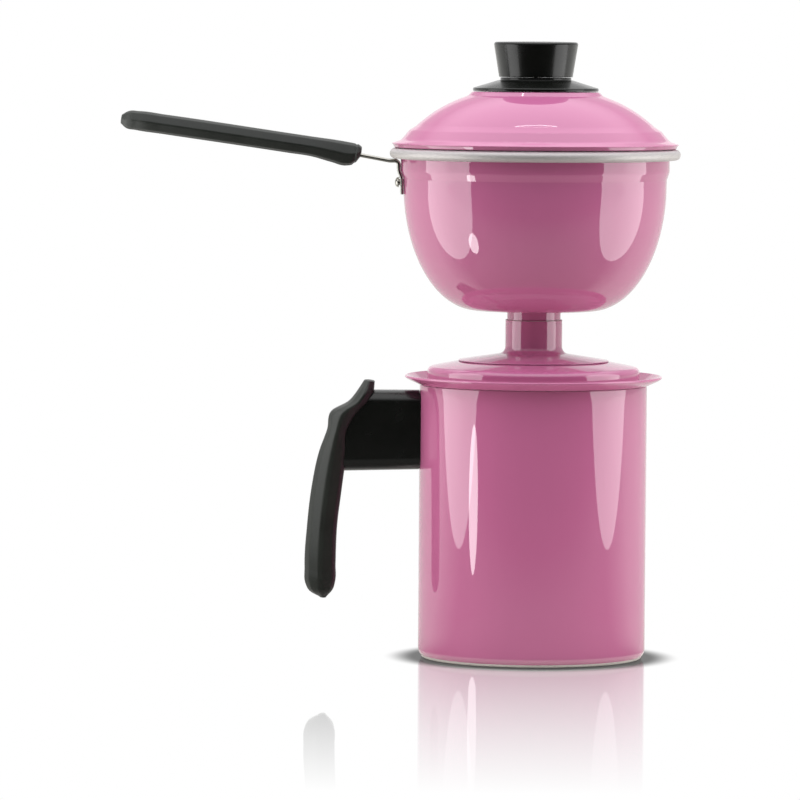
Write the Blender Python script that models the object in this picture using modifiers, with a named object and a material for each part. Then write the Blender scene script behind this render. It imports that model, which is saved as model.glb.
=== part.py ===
"""Couscous steamer.

A mug boils the water. A funnel lid stands in its mouth and carries a steam tube with a
wide foot. A bowl plugs into the tube by a spigot, holds a perforated plate for the
couscous, and is closed by a domed lid with a screwed-on knob.

Metres, +Z up. The origin is the centre of the mug's base, and both handles point to -X.
"""

import math

import bmesh
import bpy
from mathutils import Matrix, Vector

# Clearances and facets
GAP = 0.0003
TURNED_STEPS = 32
SMALL_STEPS = 12
HOLE_STEPS = 6
MERGE = 0.00001
FLAT_ANGLE = math.radians(0.2)
CUTTER_MARGIN = 0.0020

# Mug
MUG_RADIUS = 0.0600
MUG_HEIGHT = 0.1430
MUG_WALL = 0.0012
MUG_BASE_CORNER = 0.0050

# Mug lid: groove inside the mug's mouth, brim over its rim, cone up to the foot
LID_SHEET = 0.0008
BRIM_RADIUS = 0.0671
BRIM_RISE = 0.0036
BRIM_FLAT = 0.0008
BRIM_BEND = 0.0015
GROOVE_DEPTH = 0.0040
GROOVE_WIDTH = 0.0021
GROOVE_BEND = 0.0009
SHOULDER_RISE = 0.0081
SHOULDER_BEND = 0.0025
CONE_RISE = 0.0041
LEDGE_RADIUS = 0.0200
STEAM_HOLE_RADIUS = 0.0125

# Steam tube with its flared foot
TUBE_RADIUS = 0.0150
TUBE_WALL = 0.0006
TUBE_HEIGHT = 0.0215
TUBE_FILLET = 0.0050
FOOT_RADIUS = 0.0395
FOOT_PROUD = 0.0003
FOOT_SLOPE = math.radians(9.0)

# Bowl
BOWL_WALL = 0.0009
BOWL_STAND_OFF = 0.0052
BOWL_FLAT_RADIUS = 0.0305
BOWL_RADIUS = 0.0694
BOWL_CURVE_HEIGHT = 0.0678
BOWL_COLLAR = 0.0030
BOWL_STEP_OUT = 0.0015
BOWL_STEP_HEIGHT = 0.0040
BOWL_HEIGHT = 0.0868
BOWL_STEPS = 8
SPIGOT_FLANGE = 0.0040
RIM_RADIUS = 0.0767
BEAD_RADIUS = 0.00275
BEAD_OPENING = math.radians(50.0)
BEAD_STEPS = 8

# Sieve plate
SIEVE_SHEET = 0.0010
SIEVE_HEIGHT = 0.0068
SIEVE_RIM = 0.0045
SIEVE_BEND = 0.0015
SIEVE_HOLE_RADIUS = 0.0018
SIEVE_PITCH = 0.0115
SIEVE_RINGS = 3

# Bowl lid
DOME_SHEET = 0.0008
DOME_TOP_RISE = 0.0300
DOME_TOP_RADIUS = 0.0335
DOME_FOOT_RADIUS = 0.0380
DOME_FOOT_DROP = 0.0030
DOME_BULGE = 0.0015
DOME_EDGE_RADIUS = 0.0628
DOME_EDGE_RISE = 0.0118
STAMP_WIDTH = 0.0037
STAMP_DROP = 0.0023
FLARE_RADIUS = 0.0708
FLARE_RISE = 0.0043
FLARE_BEND = 0.0025
DOME_RADIUS = 0.0757
DOME_RIM_RISE = 0.0028
SKIRT_DEPTH = 0.0050
DOME_STEPS = 6

# Knob, its plate and what holds them
PLATE_RADIUS = 0.0331
PLATE_EDGE = 0.0016
PLATE_TOP_RADIUS = 0.0195
PLATE_RISE = 0.0058
NECK_RADIUS = 0.0187
NECK_RISE = 0.0013
KNOB_FOOT_RADIUS = 0.0194
KNOB_TOP_RADIUS = 0.0224
KNOB_HEIGHT = 0.0188
KNOB_EDGE = 0.0017
KNOB_DOME = 0.0012
INSERT_RADIUS = 0.0045
INSERT_LENGTH = 0.0110
KNOB_SCREW_RADIUS = 0.0020
KNOB_SCREW_HEAD_RADIUS = 0.0040
KNOB_SCREW_HEAD = 0.0024
WASHER_RADIUS = 0.0065
WASHER_THICKNESS = 0.0010

# Mug handle: neck block, bracket inside it, rivets, screw
NECK_DROP = 0.0030
NECK_HEIGHT = 0.0413
NECK_DEPTH = 0.0180
NECK_ROUNDING = 0.0025
NECK_BITE = 0.35
GRIP_REACH = 0.0384
GRIP_WIDTH = 0.0240
GRIP_CLEARANCE = 0.00045
MUG_GRIP_LENGTH = 0.1146
MUG_GRIP_SWEEP = 0.0365
BRACKET_WIDTH = 0.0140
BRACKET_HEIGHT = 0.0340
BRACKET_PLATE = 0.0020
BOSS_RADIUS = 0.0055
BOSS_LENGTH = 0.0140
MUG_RIVET_SPACING = 0.0240
MUG_RIVET_RADIUS = 0.0020
MUG_RIVET_HEAD_RADIUS = 0.0032
MUG_RIVET_HEAD = 0.0012
MUG_SCREW_RADIUS = 0.0020
MUG_SCREW_HEAD_RADIUS = 0.0037
MUG_SCREW_HEAD = 0.0024
MUG_SCREW_SEAT = 0.0050
MUG_SCREW_BITE = 0.0090

# Mug grip stations from the thumb rest down to the tip. Each has the outer edge and the
# inner edge as (reach past the neck's end, height above the neck's top), in shares of the
# grip's sweep and of its length, and the share of the full width there
MUG_GRIP_STATIONS = (
    ((-0.244, 0.053), (-0.400, 0.047), 0.55),
    ((-0.170, 0.016), (-0.389, 0.010), 0.88),
    ((-0.038, -0.039), (-0.318, -0.039), 1.00),
    ((0.238, -0.094), (-0.153, -0.098), 1.00),
    ((0.285, -0.172), (-0.016, -0.175), 1.00),
    ((0.395, -0.271), (0.000, -0.271), 1.00),
    ((0.501, -0.430), (0.066, -0.445), 0.98),
    ((0.570, -0.624), (0.132, -0.624), 0.96),
    ((0.600, -0.809), (0.151, -0.809), 0.94),
    ((0.586, -0.886), (0.153, -0.873), 0.90),
    ((0.510, -0.925), (0.197, -0.916), 0.75),
    ((0.384, -0.947), (0.282, -0.947), 0.45),
)

# Bowl handle: strap riveted under the rim, bar grip, screw from below
STRAP_THICKNESS = 0.0015
STRAP_WIDTH = 0.0140
STRAP_LEG_FOOT = 0.0244
STRAP_TILT = math.radians(10.4)
STRAP_LENGTH = 0.0157
TANG_LENGTH = 0.0300
BOWL_GRIP_TILT = math.radians(7.75)
BOWL_GRIP_LENGTH = 0.1275
BOWL_GRIP_HEIGHT = 0.0102
BOWL_GRIP_WIDTH = 0.0200
BOWL_RIVET_DROP = 0.0181
BOWL_RIVET_SPACING = 0.0074
BOWL_RIVET_RADIUS = 0.0016
BOWL_RIVET_HEAD_RADIUS = 0.00265
BOWL_RIVET_HEAD = 0.0024
BOWL_RIVET_TAIL = 0.0012
BOWL_SCREW_PLACE = 0.0110
BOWL_SCREW_RADIUS = 0.0015
BOWL_SCREW_HEAD_RADIUS = 0.0032
BOWL_SCREW_HEAD = 0.0018
BOWL_SCREW_SEAT = 0.0040

# Screw slots
SLOT_WIDTH = 0.0010
SLOT_DEPTH = 0.0008

# Heads of screws and rivets as (share of the head's radius, share of its height)
SCREW_HEAD = ((0.0, 1.0), (0.75, 1.0), (1.0, 0.6), (1.0, 0.0))
RIVET_HEAD = ((0.0, 1.0), (0.60, 0.85), (0.95, 0.4), (1.0, 0.0))
SCREW_FILL = 0.8

# Bowl grip stations from the bowl end to the tip, each as (share of the length, top above
# the tang's middle and underside below it in shares of the height, share of the width)
BOWL_GRIP_STATIONS = (
    (0.000, 0.431, -0.510, 0.86),
    (0.009, 0.559, -0.627, 1.00),
    (0.055, 0.559, -0.657, 1.00),
    (0.118, 0.559, -0.588, 1.00),
    (0.196, 0.549, -0.461, 1.00),
    (0.298, 0.549, -0.451, 1.00),
    (0.824, 0.549, -0.451, 1.00),
    (0.933, 0.529, -0.451, 0.95),
    (0.980, 0.431, -0.402, 0.75),
    (1.000, 0.235, -0.235, 0.42),
)

# Cross-sections of the grips as (place from the first edge to the second, half width)
MUG_GRIP_SECTION = ((0.0, 0.35), (0.15, 0.72), (0.50, 1.0), (0.90, 0.82), (1.0, 0.62))
BOWL_GRIP_SECTION = ((0.0, 0.55), (0.16, 0.88), (0.50, 1.0), (0.84, 0.88), (1.0, 0.55))

# Heights that follow from the sizes above
NECK_TOP = MUG_HEIGHT - NECK_DROP
NECK_MIDDLE = NECK_TOP - NECK_HEIGHT / 2
CONE_TOP = MUG_HEIGHT + SHOULDER_RISE + CONE_RISE
FOOT_EDGE = CONE_TOP + FOOT_PROUD
TUBE_TOP = FOOT_EDGE + TUBE_HEIGHT
BOWL_BOTTOM = TUBE_TOP + BOWL_STAND_OFF
BOWL_TOP = BOWL_BOTTOM + BOWL_HEIGHT
BEAD_FOOT = BOWL_TOP - 2 * BEAD_RADIUS
STRAP_TOP = BEAD_FOOT - GAP
DOME_SEAT = BOWL_TOP + GAP
DOME_TOP = BOWL_TOP + DOME_TOP_RISE
PLATE_SEAT = DOME_TOP + GAP
KNOB_SEAT = PLATE_SEAT + PLATE_RISE + NECK_RISE + GAP
INSERT_SEAT = KNOB_SEAT + GAP

# Radii that follow from the sizes above
SPIGOT_RADIUS = TUBE_RADIUS - TUBE_WALL - GAP
BAND_RADIUS = BOWL_RADIUS + BOWL_STEP_OUT

# Colours as sRGB values from 0 to 1, with roughness and metallic
FINISHES = {
    "pink_lacquer": ((0.80, 0.50, 0.66), 0.15, 0.0),
    "bare_aluminium": ((0.80, 0.80, 0.79), 0.30, 1.0),
    "bright_steel": ((0.74, 0.73, 0.71), 0.22, 1.0),
    "black_phenolic": ((0.045, 0.05, 0.05), 0.22, 0.0),
    "charcoal_phenolic": ((0.17, 0.18, 0.17), 0.55, 0.0),
    "brass": ((0.78, 0.62, 0.32), 0.35, 1.0),
}


def clear_scene():
    """Remove whatever the file opened with."""
    for item in list(bpy.data.objects):
        bpy.data.objects.remove(item, do_unlink=True)


def new_collection(name):
    """Make a collection under the scene."""
    collection = bpy.data.collections.new(name)
    bpy.context.scene.collection.children.link(collection)
    return collection


def linear(value):
    """Turn one sRGB value into the linear one that shaders take."""
    return value / 12.92 if value <= 0.04045 else ((value + 0.055) / 1.055) ** 2.4


def finish(name, piece):
    """Give a sub-part its own Principled material with the named finish."""
    colour, roughness, metallic = FINISHES[name]
    material = bpy.data.materials.new(piece.name + "_" + name)
    material.use_nodes = True
    shader = material.node_tree.nodes["Principled BSDF"]
    shader.inputs["Base Color"].default_value = [linear(value) for value in colour] + [1.0]
    shader.inputs["Roughness"].default_value = roughness
    shader.inputs["Metallic"].default_value = metallic
    piece.data.materials.append(material)


def arc(centre, radius, start, end, steps):
    """Points on a circle from one angle to another, both in radians."""
    angles = [start + (end - start) * i / steps for i in range(steps + 1)]
    return [
        (centre[0] + radius * math.cos(angle), centre[1] + radius * math.sin(angle))
        for angle in angles
    ]


def rounded(corners, steps=3):
    """Turn (radius, height, bend) corners into a line whose corners are round."""
    line = []
    for index, (x, y, bend) in enumerate(corners):
        if not bend or index in (0, len(corners) - 1):
            line.append((x, y))
            continue
        here = Vector((x, y))
        back = (Vector(corners[index - 1][:2]) - here).normalized()
        ahead = (Vector(corners[index + 1][:2]) - here).normalized()
        half = back.angle(ahead) / 2
        reach = bend / math.tan(half)
        first, last = here + back * reach, here + ahead * reach
        centre = here + (back + ahead).normalized() * bend / math.sin(half)
        spoke = first - centre
        sweep = spoke.angle_signed(last - centre)
        for step in range(steps + 1):
            turn = -sweep * step / steps
            cosine, sine = math.cos(turn), math.sin(turn)
            line.append((
                centre.x + spoke.x * cosine - spoke.y * sine,
                centre.y + spoke.x * sine + spoke.y * cosine,
            ))
    return line


def bulged(start, end, bulge, steps):
    """An arc from start to end whose middle stands out to the left of the chord."""
    a, b = Vector(start), Vector(end)
    chord = b - a
    normal = Vector((-chord.y, chord.x)).normalized()
    radius = (chord.length ** 2 / 4 + bulge ** 2) / (2 * bulge)
    centre = (a + b) / 2 - normal * (radius - bulge)
    begin = math.atan2(a.y - centre.y, a.x - centre.x)
    close = math.atan2(b.y - centre.y, b.x - centre.x)
    return arc(centre, radius, begin, close, steps)


def offset(line, distance):
    """Move a line to its right by a distance, with mitred corners."""
    moved = []
    for index, point in enumerate(line):
        before = line[max(index - 1, 0)]
        after = line[min(index + 1, len(line) - 1)]
        sides = []
        for first, second in ((before, point), (point, after)):
            step = Vector(second) - Vector(first)
            if step.length > MERGE:
                sides.append(Vector((step.y, -step.x)).normalized())
        normal = sum(sides, Vector((0, 0))).normalized()
        moved.append(tuple(Vector(point) + normal * distance / normal.dot(sides[0])))
    return moved


def radius_at(line, height):
    """The radius of a turned line where it passes a height."""
    for (x0, z0), (x1, z1) in zip(line, line[1:]):
        if min(z0, z1) <= height <= max(z0, z1) and z0 != z1:
            return x0 + (x1 - x0) * (height - z0) / (z1 - z0)
    raise ValueError("the line doesn't reach this height")


def add_object(name, mesh, collection, matrix=Matrix()):
    """Put a mesh into a collection as an object."""
    piece = bpy.data.objects.new(name, mesh)
    piece.matrix_world = matrix
    collection.objects.link(piece)
    return piece


def turned(name, line, collection, matrix=Matrix(), steps=TURNED_STEPS, closed=False):
    """Turn a line of (radius, height) points about the local Z axis."""
    count = len(line)
    edges = [(i, i + 1) for i in range(count - 1)]
    if closed:
        edges.append((count - 1, 0))
    mesh = bpy.data.meshes.new(name)
    mesh.from_pydata([(x, 0.0, z) for x, z in line], edges, [])
    piece = add_object(name, mesh, collection, matrix)
    screw = piece.modifiers.new("turn", "SCREW")
    screw.axis = "Z"
    screw.steps = steps
    screw.render_steps = steps
    screw.use_merge_vertices = True
    screw.merge_threshold = MERGE
    screw.use_smooth_shade = True
    return piece


def shell(name, line, sheet, collection):
    """Turn the outer side of a sheet-metal piece, and give it its wall inward."""
    piece = turned(name, line, collection)
    wall = piece.modifiers.new("wall", "SOLIDIFY")
    wall.thickness = sheet
    wall.offset = -1.0
    wall.use_even_offset = True
    wall.use_quality_normals = True
    return piece


def box(name, low, high, collection, matrix=Matrix()):
    """A box between two corners, made from a cube."""
    mesh = bpy.data.meshes.new(name)
    shape = bmesh.new()
    size = Vector(high) - Vector(low)
    place = Matrix.Translation((Vector(high) + Vector(low)) / 2) @ Matrix.Diagonal((*size, 1.0))
    bmesh.ops.create_cube(shape, size=1.0, matrix=place)
    shape.to_mesh(mesh)
    shape.free()
    return add_object(name, mesh, collection, matrix)


def rod(name, radius, start, end, collection, matrix=Matrix(), steps=SMALL_STEPS):
    """A plain cylinder along local Z."""
    line = [(0.0, end), (radius, end), (radius, start), (0.0, start)]
    return turned(name, line, collection, matrix, steps)


def slab(name, outline, width, collection):
    """Extrude an outline in the XZ plane to a width across Y, centred on the plane."""
    curve = bpy.data.curves.new(name, "CURVE")
    curve.dimensions = "2D"
    curve.fill_mode = "BOTH"
    curve.extrude = width / 2
    spline = curve.splines.new("POLY")
    spline.points.add(len(outline) - 1)
    for point, (x, z) in zip(spline.points, outline):
        point.co = (x, z, 0.0, 1.0)
    spline.use_cyclic_u = True
    flat = add_object(name + "_outline", curve, collection, Matrix.Rotation(math.pi / 2, 4, "X"))
    bpy.context.view_layer.update()
    graph = bpy.context.evaluated_depsgraph_get()
    mesh = bpy.data.meshes.new_from_object(flat.evaluated_get(graph))
    mesh.name = name
    shape = bmesh.new()
    shape.from_mesh(mesh)
    bmesh.ops.remove_doubles(shape, verts=shape.verts, dist=MERGE)
    bmesh.ops.dissolve_limit(shape, angle_limit=FLAT_ANGLE, verts=shape.verts, edges=shape.edges)
    shape.to_mesh(mesh)
    shape.free()
    piece = add_object(name, mesh, collection, flat.matrix_world.copy())
    bpy.data.objects.remove(flat, do_unlink=True)
    return piece


def loft(name, stations, section, collection, grow=0.0):
    """Skin closed sections between pairs of edge points in the XZ plane.

    A station is (first edge, second edge, half width). The section gives each ring's
    points as (place between the edges, share of the half width), on both sides of Y.
    """
    rings = []
    for first, second, half in stations:
        a, b = Vector(first), Vector(second)
        along = (b - a).normalized() * grow
        a, b = a - along, b + along
        side = [(a.lerp(b, place), share * half + grow) for place, share in section]
        ring = [(point.x, -y, point.y) for point, y in side]
        ring += [(point.x, y, point.y) for point, y in reversed(side)]
        rings.append(ring)
    mesh = bpy.data.meshes.new(name)
    shape = bmesh.new()
    rows = [[shape.verts.new(point) for point in ring] for ring in rings]
    for lower, upper in zip(rows, rows[1:]):
        for i in range(len(lower)):
            j = (i + 1) % len(lower)
            shape.faces.new((lower[i], lower[j], upper[j], upper[i]))
    shape.faces.new(rows[0])
    shape.faces.new(rows[-1])
    bmesh.ops.recalc_face_normals(shape, faces=shape.faces)
    shape.to_mesh(mesh)
    shape.free()
    return add_object(name, mesh, collection)


def bevel(piece, width, segments=2):
    """Round a piece's sharp edges."""
    edge = piece.modifiers.new("edge", "BEVEL")
    edge.width = width
    edge.segments = segments
    edge.limit_method = "ANGLE"
    edge.angle_limit = math.radians(50.0)


def combine(piece, other, operation):
    """Cut another solid out of a piece, or join it on."""
    joint = piece.modifiers.new(operation.lower(), "BOOLEAN")
    joint.operation = operation
    joint.solver = "EXACT"
    joint.object = other
    other.display_type = "WIRE"
    other.hide_render = True


def cut(piece, *others):
    """Cut several solids out of a piece."""
    for other in others:
        combine(piece, other, "DIFFERENCE")


def along_minus_x(x, y, z):
    """A frame at a point whose local Z points to -X."""
    return Matrix.Translation((x, y, z)) @ Matrix.Rotation(-math.pi / 2, 4, "Y")


def screw(name, sizes, seat, end, parts, cutters, matrix):
    """A slotted screw along local Z, from its head's seat down to its end.

    The sizes are the shank's radius, the head's radius and the head's height.
    """
    shank, head_radius, head = sizes
    line = [(head_radius * out, seat + head * up) for out, up in SCREW_HEAD]
    line += [(shank, seat), (shank, end), (0.0, end)]
    piece = turned(name, line, parts, matrix, SMALL_STEPS)
    finish("bright_steel", piece)
    reach = head_radius + CUTTER_MARGIN
    top = seat + head
    low = (-reach, -SLOT_WIDTH / 2, top - SLOT_DEPTH)
    high = (reach, SLOT_WIDTH / 2, top + CUTTER_MARGIN)
    cut(piece, box(name + "_slot", low, high, cutters, matrix))


def rivet(name, sizes, inner, outer, parts, matrix):
    """A rivet along local Z, with a domed head at its outer seat and a like one inside.

    The sizes are the shank's radius, the heads' radius, and the height of each head.
    """
    shank, head_radius, head, tail = sizes
    line = [(head_radius * out, outer + head * up) for out, up in RIVET_HEAD]
    line += [(shank, outer), (shank, inner)]
    line += [(head_radius * out, inner - tail * up) for out, up in reversed(RIVET_HEAD)]
    return turned(name, line, parts, matrix, SMALL_STEPS)


# Lines of the turned pieces, each down its outer side

def mug_line():
    """Straight wall and a flat base with a round corner."""
    return rounded([
        (MUG_RADIUS, MUG_HEIGHT, 0),
        (MUG_RADIUS, 0.0, MUG_BASE_CORNER),
        (0.0, 0.0, 0),
    ])


def foot_line():
    """The steam tube from its top, down into the flare of its foot."""
    rise = (FOOT_RADIUS - TUBE_RADIUS) * math.tan(FOOT_SLOPE)
    return rounded([
        (TUBE_RADIUS, TUBE_TOP, 0),
        (TUBE_RADIUS, FOOT_EDGE + rise, TUBE_FILLET),
        (FOOT_RADIUS, FOOT_EDGE, 0),
    ])


def ledge_height():
    """Top of the flat ledge round the steam hole, on which the spigot stands."""
    drop = (TUBE_WALL + GAP) / math.cos(FOOT_SLOPE)
    return FOOT_EDGE - drop + (FOOT_RADIUS - LEDGE_RADIUS) * math.tan(FOOT_SLOPE)


def mug_lid_line():
    """From the steam hole out over the recess, cone, shoulder, groove and brim."""
    recess = FOOT_RADIUS + GAP
    recess_floor = ledge_height() - (recess - LEDGE_RADIUS) * math.tan(FOOT_SLOPE)
    skirt_inside = MUG_RADIUS - MUG_WALL - GAP - LID_SHEET
    shoulder = skirt_inside - GROOVE_WIDTH
    groove_floor = MUG_HEIGHT - GROOVE_DEPTH
    brim = MUG_HEIGHT + GAP + LID_SHEET
    return rounded([
        (STEAM_HOLE_RADIUS, ledge_height(), 0),
        (LEDGE_RADIUS, ledge_height(), 0),
        (recess, recess_floor, 0),
        (recess, CONE_TOP, 0),
        (shoulder, MUG_HEIGHT + SHOULDER_RISE, SHOULDER_BEND),
        (shoulder, groove_floor, GROOVE_BEND),
        (skirt_inside, groove_floor, GROOVE_BEND),
        (skirt_inside, brim, GROOVE_BEND),
        (MUG_RADIUS + BRIM_FLAT, brim, BRIM_BEND),
        (BRIM_RADIUS, brim + BRIM_RISE, 0),
    ], steps=2)


def bowl_line():
    """The painted side: inside the rolled bead, down the wall to the hole in the bottom.

    Below the collar the wall is a quarter of an ellipse down to the flat bottom.
    """
    collar_foot = BOWL_BOTTOM + BOWL_CURVE_HEIGHT
    band_foot = collar_foot + BOWL_COLLAR + BOWL_STEP_HEIGHT
    bead = (RIM_RADIUS - BEAD_RADIUS, BOWL_TOP - BEAD_RADIUS)
    curl = BEAD_RADIUS - BOWL_WALL
    line = arc(bead, curl, -math.pi + BEAD_OPENING, math.pi, BEAD_STEPS)
    line += [
        (BAND_RADIUS, BEAD_FOOT),
        (BAND_RADIUS, band_foot),
        (BOWL_RADIUS, collar_foot + BOWL_COLLAR),
    ]
    reach = BOWL_RADIUS - BOWL_FLAT_RADIUS
    for step in range(BOWL_STEPS + 1):
        angle = math.pi / 2 * step / BOWL_STEPS
        line.append((
            BOWL_FLAT_RADIUS + reach * math.cos(angle),
            collar_foot - BOWL_CURVE_HEIGHT * math.sin(angle),
        ))
    return line + [(SPIGOT_RADIUS + GAP, BOWL_BOTTOM)]


def spigot_line():
    """A sleeve: a flange on the bowl's bottom inside, and the tube down to the ledge."""
    flange = BOWL_BOTTOM + BOWL_WALL + GAP
    return [
        (SPIGOT_RADIUS + SPIGOT_FLANGE, flange),
        (SPIGOT_RADIUS, flange),
        (SPIGOT_RADIUS, ledge_height() + GAP),
    ]


def sieve_line():
    """A dish whose flat stands on the bowl's curved wall, with an upturned rim."""
    height = BOWL_BOTTOM + SIEVE_HEIGHT
    seat = radius_at(offset(bowl_line(), BOWL_WALL)[BEAD_STEPS + 1:], height)
    radius = seat - GAP
    return rounded([
        (radius, height + SIEVE_RIM, 0),
        (radius, height, SIEVE_BEND),
        (0.0, height, 0),
    ], steps=2)


def dome_line():
    """The lid's section: dome, flared and hemmed brim, skirt, and the underside."""
    screw_hole = KNOB_SCREW_RADIUS + GAP
    edge = (DOME_EDGE_RADIUS, BOWL_TOP + DOME_EDGE_RISE)
    top = [(screw_hole, DOME_TOP), (DOME_TOP_RADIUS, DOME_TOP)]
    top += bulged((DOME_FOOT_RADIUS, DOME_TOP - DOME_FOOT_DROP), edge, DOME_BULGE, DOME_STEPS)
    stamp = (edge[0] + STAMP_WIDTH, edge[1] - STAMP_DROP)
    flare = rounded([
        (*stamp, 0),
        (FLARE_RADIUS, BOWL_TOP + FLARE_RISE, FLARE_BEND),
        (DOME_RADIUS, BOWL_TOP + DOME_RIM_RISE, 0),
    ])
    skirt = min(RIM_RADIUS - 2 * BEAD_RADIUS, BAND_RADIUS - BOWL_WALL) - GAP
    hem = [
        (DOME_RADIUS - DOME_SHEET / 2, BOWL_TOP + DOME_RIM_RISE - DOME_SHEET),
        (RIM_RADIUS - BEAD_RADIUS + DOME_SHEET / 2, DOME_SEAT),
        (skirt, DOME_SEAT),
        (skirt, DOME_SEAT - SKIRT_DEPTH),
        (skirt - DOME_SHEET, DOME_SEAT - SKIRT_DEPTH),
    ]
    under = offset(top + flare, DOME_SHEET)
    under = [point for point in under if point[0] < skirt - DOME_SHEET - GAP]
    inside = (skirt - DOME_SHEET, under[-1][1] - DOME_SHEET)
    return top + flare + hem + [inside] + list(reversed(under))


# Bodies

def make_mug(parts, cutters):
    """The mug and its riveted handle."""
    mug = shell("mug_body", mug_line(), MUG_WALL, parts)
    finish("pink_lacquer", mug)

    wall = -MUG_RADIUS
    plate = wall - GAP - BRACKET_PLATE
    boss_end = plate - BOSS_LENGTH
    inside = wall + MUG_WALL
    sag = MUG_RIVET_HEAD_RADIUS * math.tan(math.pi / TURNED_STEPS)
    clear_wall = [(0.0, MUG_HEIGHT), (MUG_RADIUS + GAP, MUG_HEIGHT), (MUG_RADIUS + GAP, 0.0)]
    mug_space = turned("mug_space", clear_wall + [(0.0, 0.0)], cutters)

    bracket = box(
        "mug_handle_bracket",
        (plate, -BRACKET_WIDTH / 2, NECK_MIDDLE - BRACKET_HEIGHT / 2),
        (inside, BRACKET_WIDTH / 2, NECK_MIDDLE + BRACKET_HEIGHT / 2),
        parts,
    )
    finish("bare_aluminium", bracket)
    axis = along_minus_x(0.0, 0.0, NECK_MIDDLE)
    boss = rod("bracket_boss", BOSS_RADIUS, -plate - GAP, -boss_end, cutters, axis)
    combine(bracket, boss, "UNION")
    screw_end = boss_end + MUG_SCREW_BITE
    screw_way = MUG_SCREW_RADIUS + GAP
    thread_end = -boss_end + CUTTER_MARGIN
    thread = rod("bracket_thread", screw_way, -screw_end - GAP, thread_end, cutters, axis)
    cut(bracket, mug_space, thread)

    for name, side in (("lower", -1), ("upper", 1)):
        place = along_minus_x(0.0, 0.0, NECK_MIDDLE + side * MUG_RIVET_SPACING / 2)
        inner_seat = -(inside + sag + GAP)
        outer_seat = -plate + GAP
        way = MUG_RIVET_RADIUS + GAP
        hole = rod("rivet_way_" + name, way, inner_seat, outer_seat, cutters, place)
        cut(mug, hole)
        cut(bracket, hole)
        sizes = (MUG_RIVET_RADIUS, MUG_RIVET_HEAD_RADIUS, MUG_RIVET_HEAD, MUG_RIVET_HEAD)
        pin = rivet("mug_rivet_" + name, sizes, inner_seat, outer_seat, parts, place)
        finish("bare_aluminium", pin)

    make_mug_grip(parts, cutters, mug_space, plate, boss_end, axis)


def mug_grip_stations():
    """The grip's stations in the XZ plane."""
    def place(edge):
        reach, height = edge
        return (
            -MUG_RADIUS - GRIP_REACH - reach * MUG_GRIP_SWEEP,
            NECK_TOP + height * MUG_GRIP_LENGTH,
        )
    half = GRIP_WIDTH / 2
    return [(place(outer), place(inner), half * share) for outer, inner, share in MUG_GRIP_STATIONS]


def neck_outline():
    """The neck's side view: it runs from inside the mug's wall to inside the grip."""
    bottom = NECK_TOP - NECK_HEIGHT
    line = [
        Vector(inner).lerp(Vector(outer), NECK_BITE)
        for outer, inner, _ in mug_grip_stations()
    ]
    end = [(radius_at(line, NECK_TOP), NECK_TOP)]
    end += [tuple(point) for point in line if bottom < point.y < NECK_TOP]
    end.append((radius_at(line, bottom), bottom))
    start = -MUG_RADIUS + MUG_WALL
    return [(start, NECK_TOP)] + end + [(start, bottom)]


def make_mug_grip(parts, cutters, mug_space, plate, boss_end, axis):
    """The neck block, the grip and the screw that holds both to the bracket."""
    grip = loft("mug_handle_grip", mug_grip_stations(), MUG_GRIP_SECTION, parts)
    finish("charcoal_phenolic", grip)
    room = mug_grip_stations()
    grip_space = loft("grip_space", room, MUG_GRIP_SECTION, cutters, GRIP_CLEARANCE)

    neck = slab("mug_handle_neck", neck_outline(), NECK_DEPTH, parts)
    finish("black_phenolic", neck)
    bevel(neck, NECK_ROUNDING)
    pocket_half = BRACKET_WIDTH / 2 + GAP
    pocket = box(
        "bracket_space",
        (plate - MUG_RIVET_HEAD - 2 * GAP, -pocket_half, NECK_MIDDLE - BRACKET_HEIGHT / 2 - GAP),
        (0.0, pocket_half, NECK_MIDDLE + BRACKET_HEIGHT / 2 + GAP),
        cutters,
    )
    boss_space = rod("boss_space", BOSS_RADIUS + GAP, 0.0, -boss_end + GAP, cutters, axis)

    seat = MUG_RADIUS + GRIP_REACH + MUG_SCREW_SEAT
    way = MUG_SCREW_RADIUS + GAP
    far = seat + GRIP_WIDTH
    screw_space = rod("mug_screw_space", way, -boss_end, seat + GAP, cutters, axis)
    head_space = rod("mug_screw_recess", MUG_SCREW_HEAD_RADIUS + GAP, seat, far, cutters, axis)
    cut(neck, mug_space, grip_space, pocket, boss_space, screw_space)
    cut(grip, screw_space, head_space)

    sizes = (MUG_SCREW_RADIUS, MUG_SCREW_HEAD_RADIUS, MUG_SCREW_HEAD)
    end = -boss_end - MUG_SCREW_BITE
    screw("mug_handle_screw", sizes, seat + GAP, end, parts, cutters, axis)


def make_steam_lid(parts):
    """The funnel lid and the steam tube seated in it."""
    lid = shell("mug_lid", mug_lid_line(), LID_SHEET, parts)
    tube = shell("steam_tube", foot_line(), TUBE_WALL, parts)
    finish("pink_lacquer", lid)
    finish("pink_lacquer", tube)


def strap_leg(distance):
    """The bowl's outer line over the strap's leg, moved out by a distance."""
    line = [point for point in bowl_line()[BEAD_STEPS + 1:] if point[1] > BOWL_BOTTOM]
    low = BOWL_TOP - STRAP_LEG_FOOT
    high = STRAP_TOP - STRAP_THICKNESS
    spine = [(-x, z) for x, z in offset(line, -distance) if low < z < high]
    return spine + [(-radius_at(offset(line, -distance), low), low)]


def strap_bends():
    """Where the strap's middle bends up under the rim, and where the grip begins."""
    root = Vector((-RIM_RADIUS, STRAP_TOP - STRAP_THICKNESS / 2))
    return root, root + Vector((-math.cos(STRAP_TILT), math.sin(STRAP_TILT))) * STRAP_LENGTH


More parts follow.
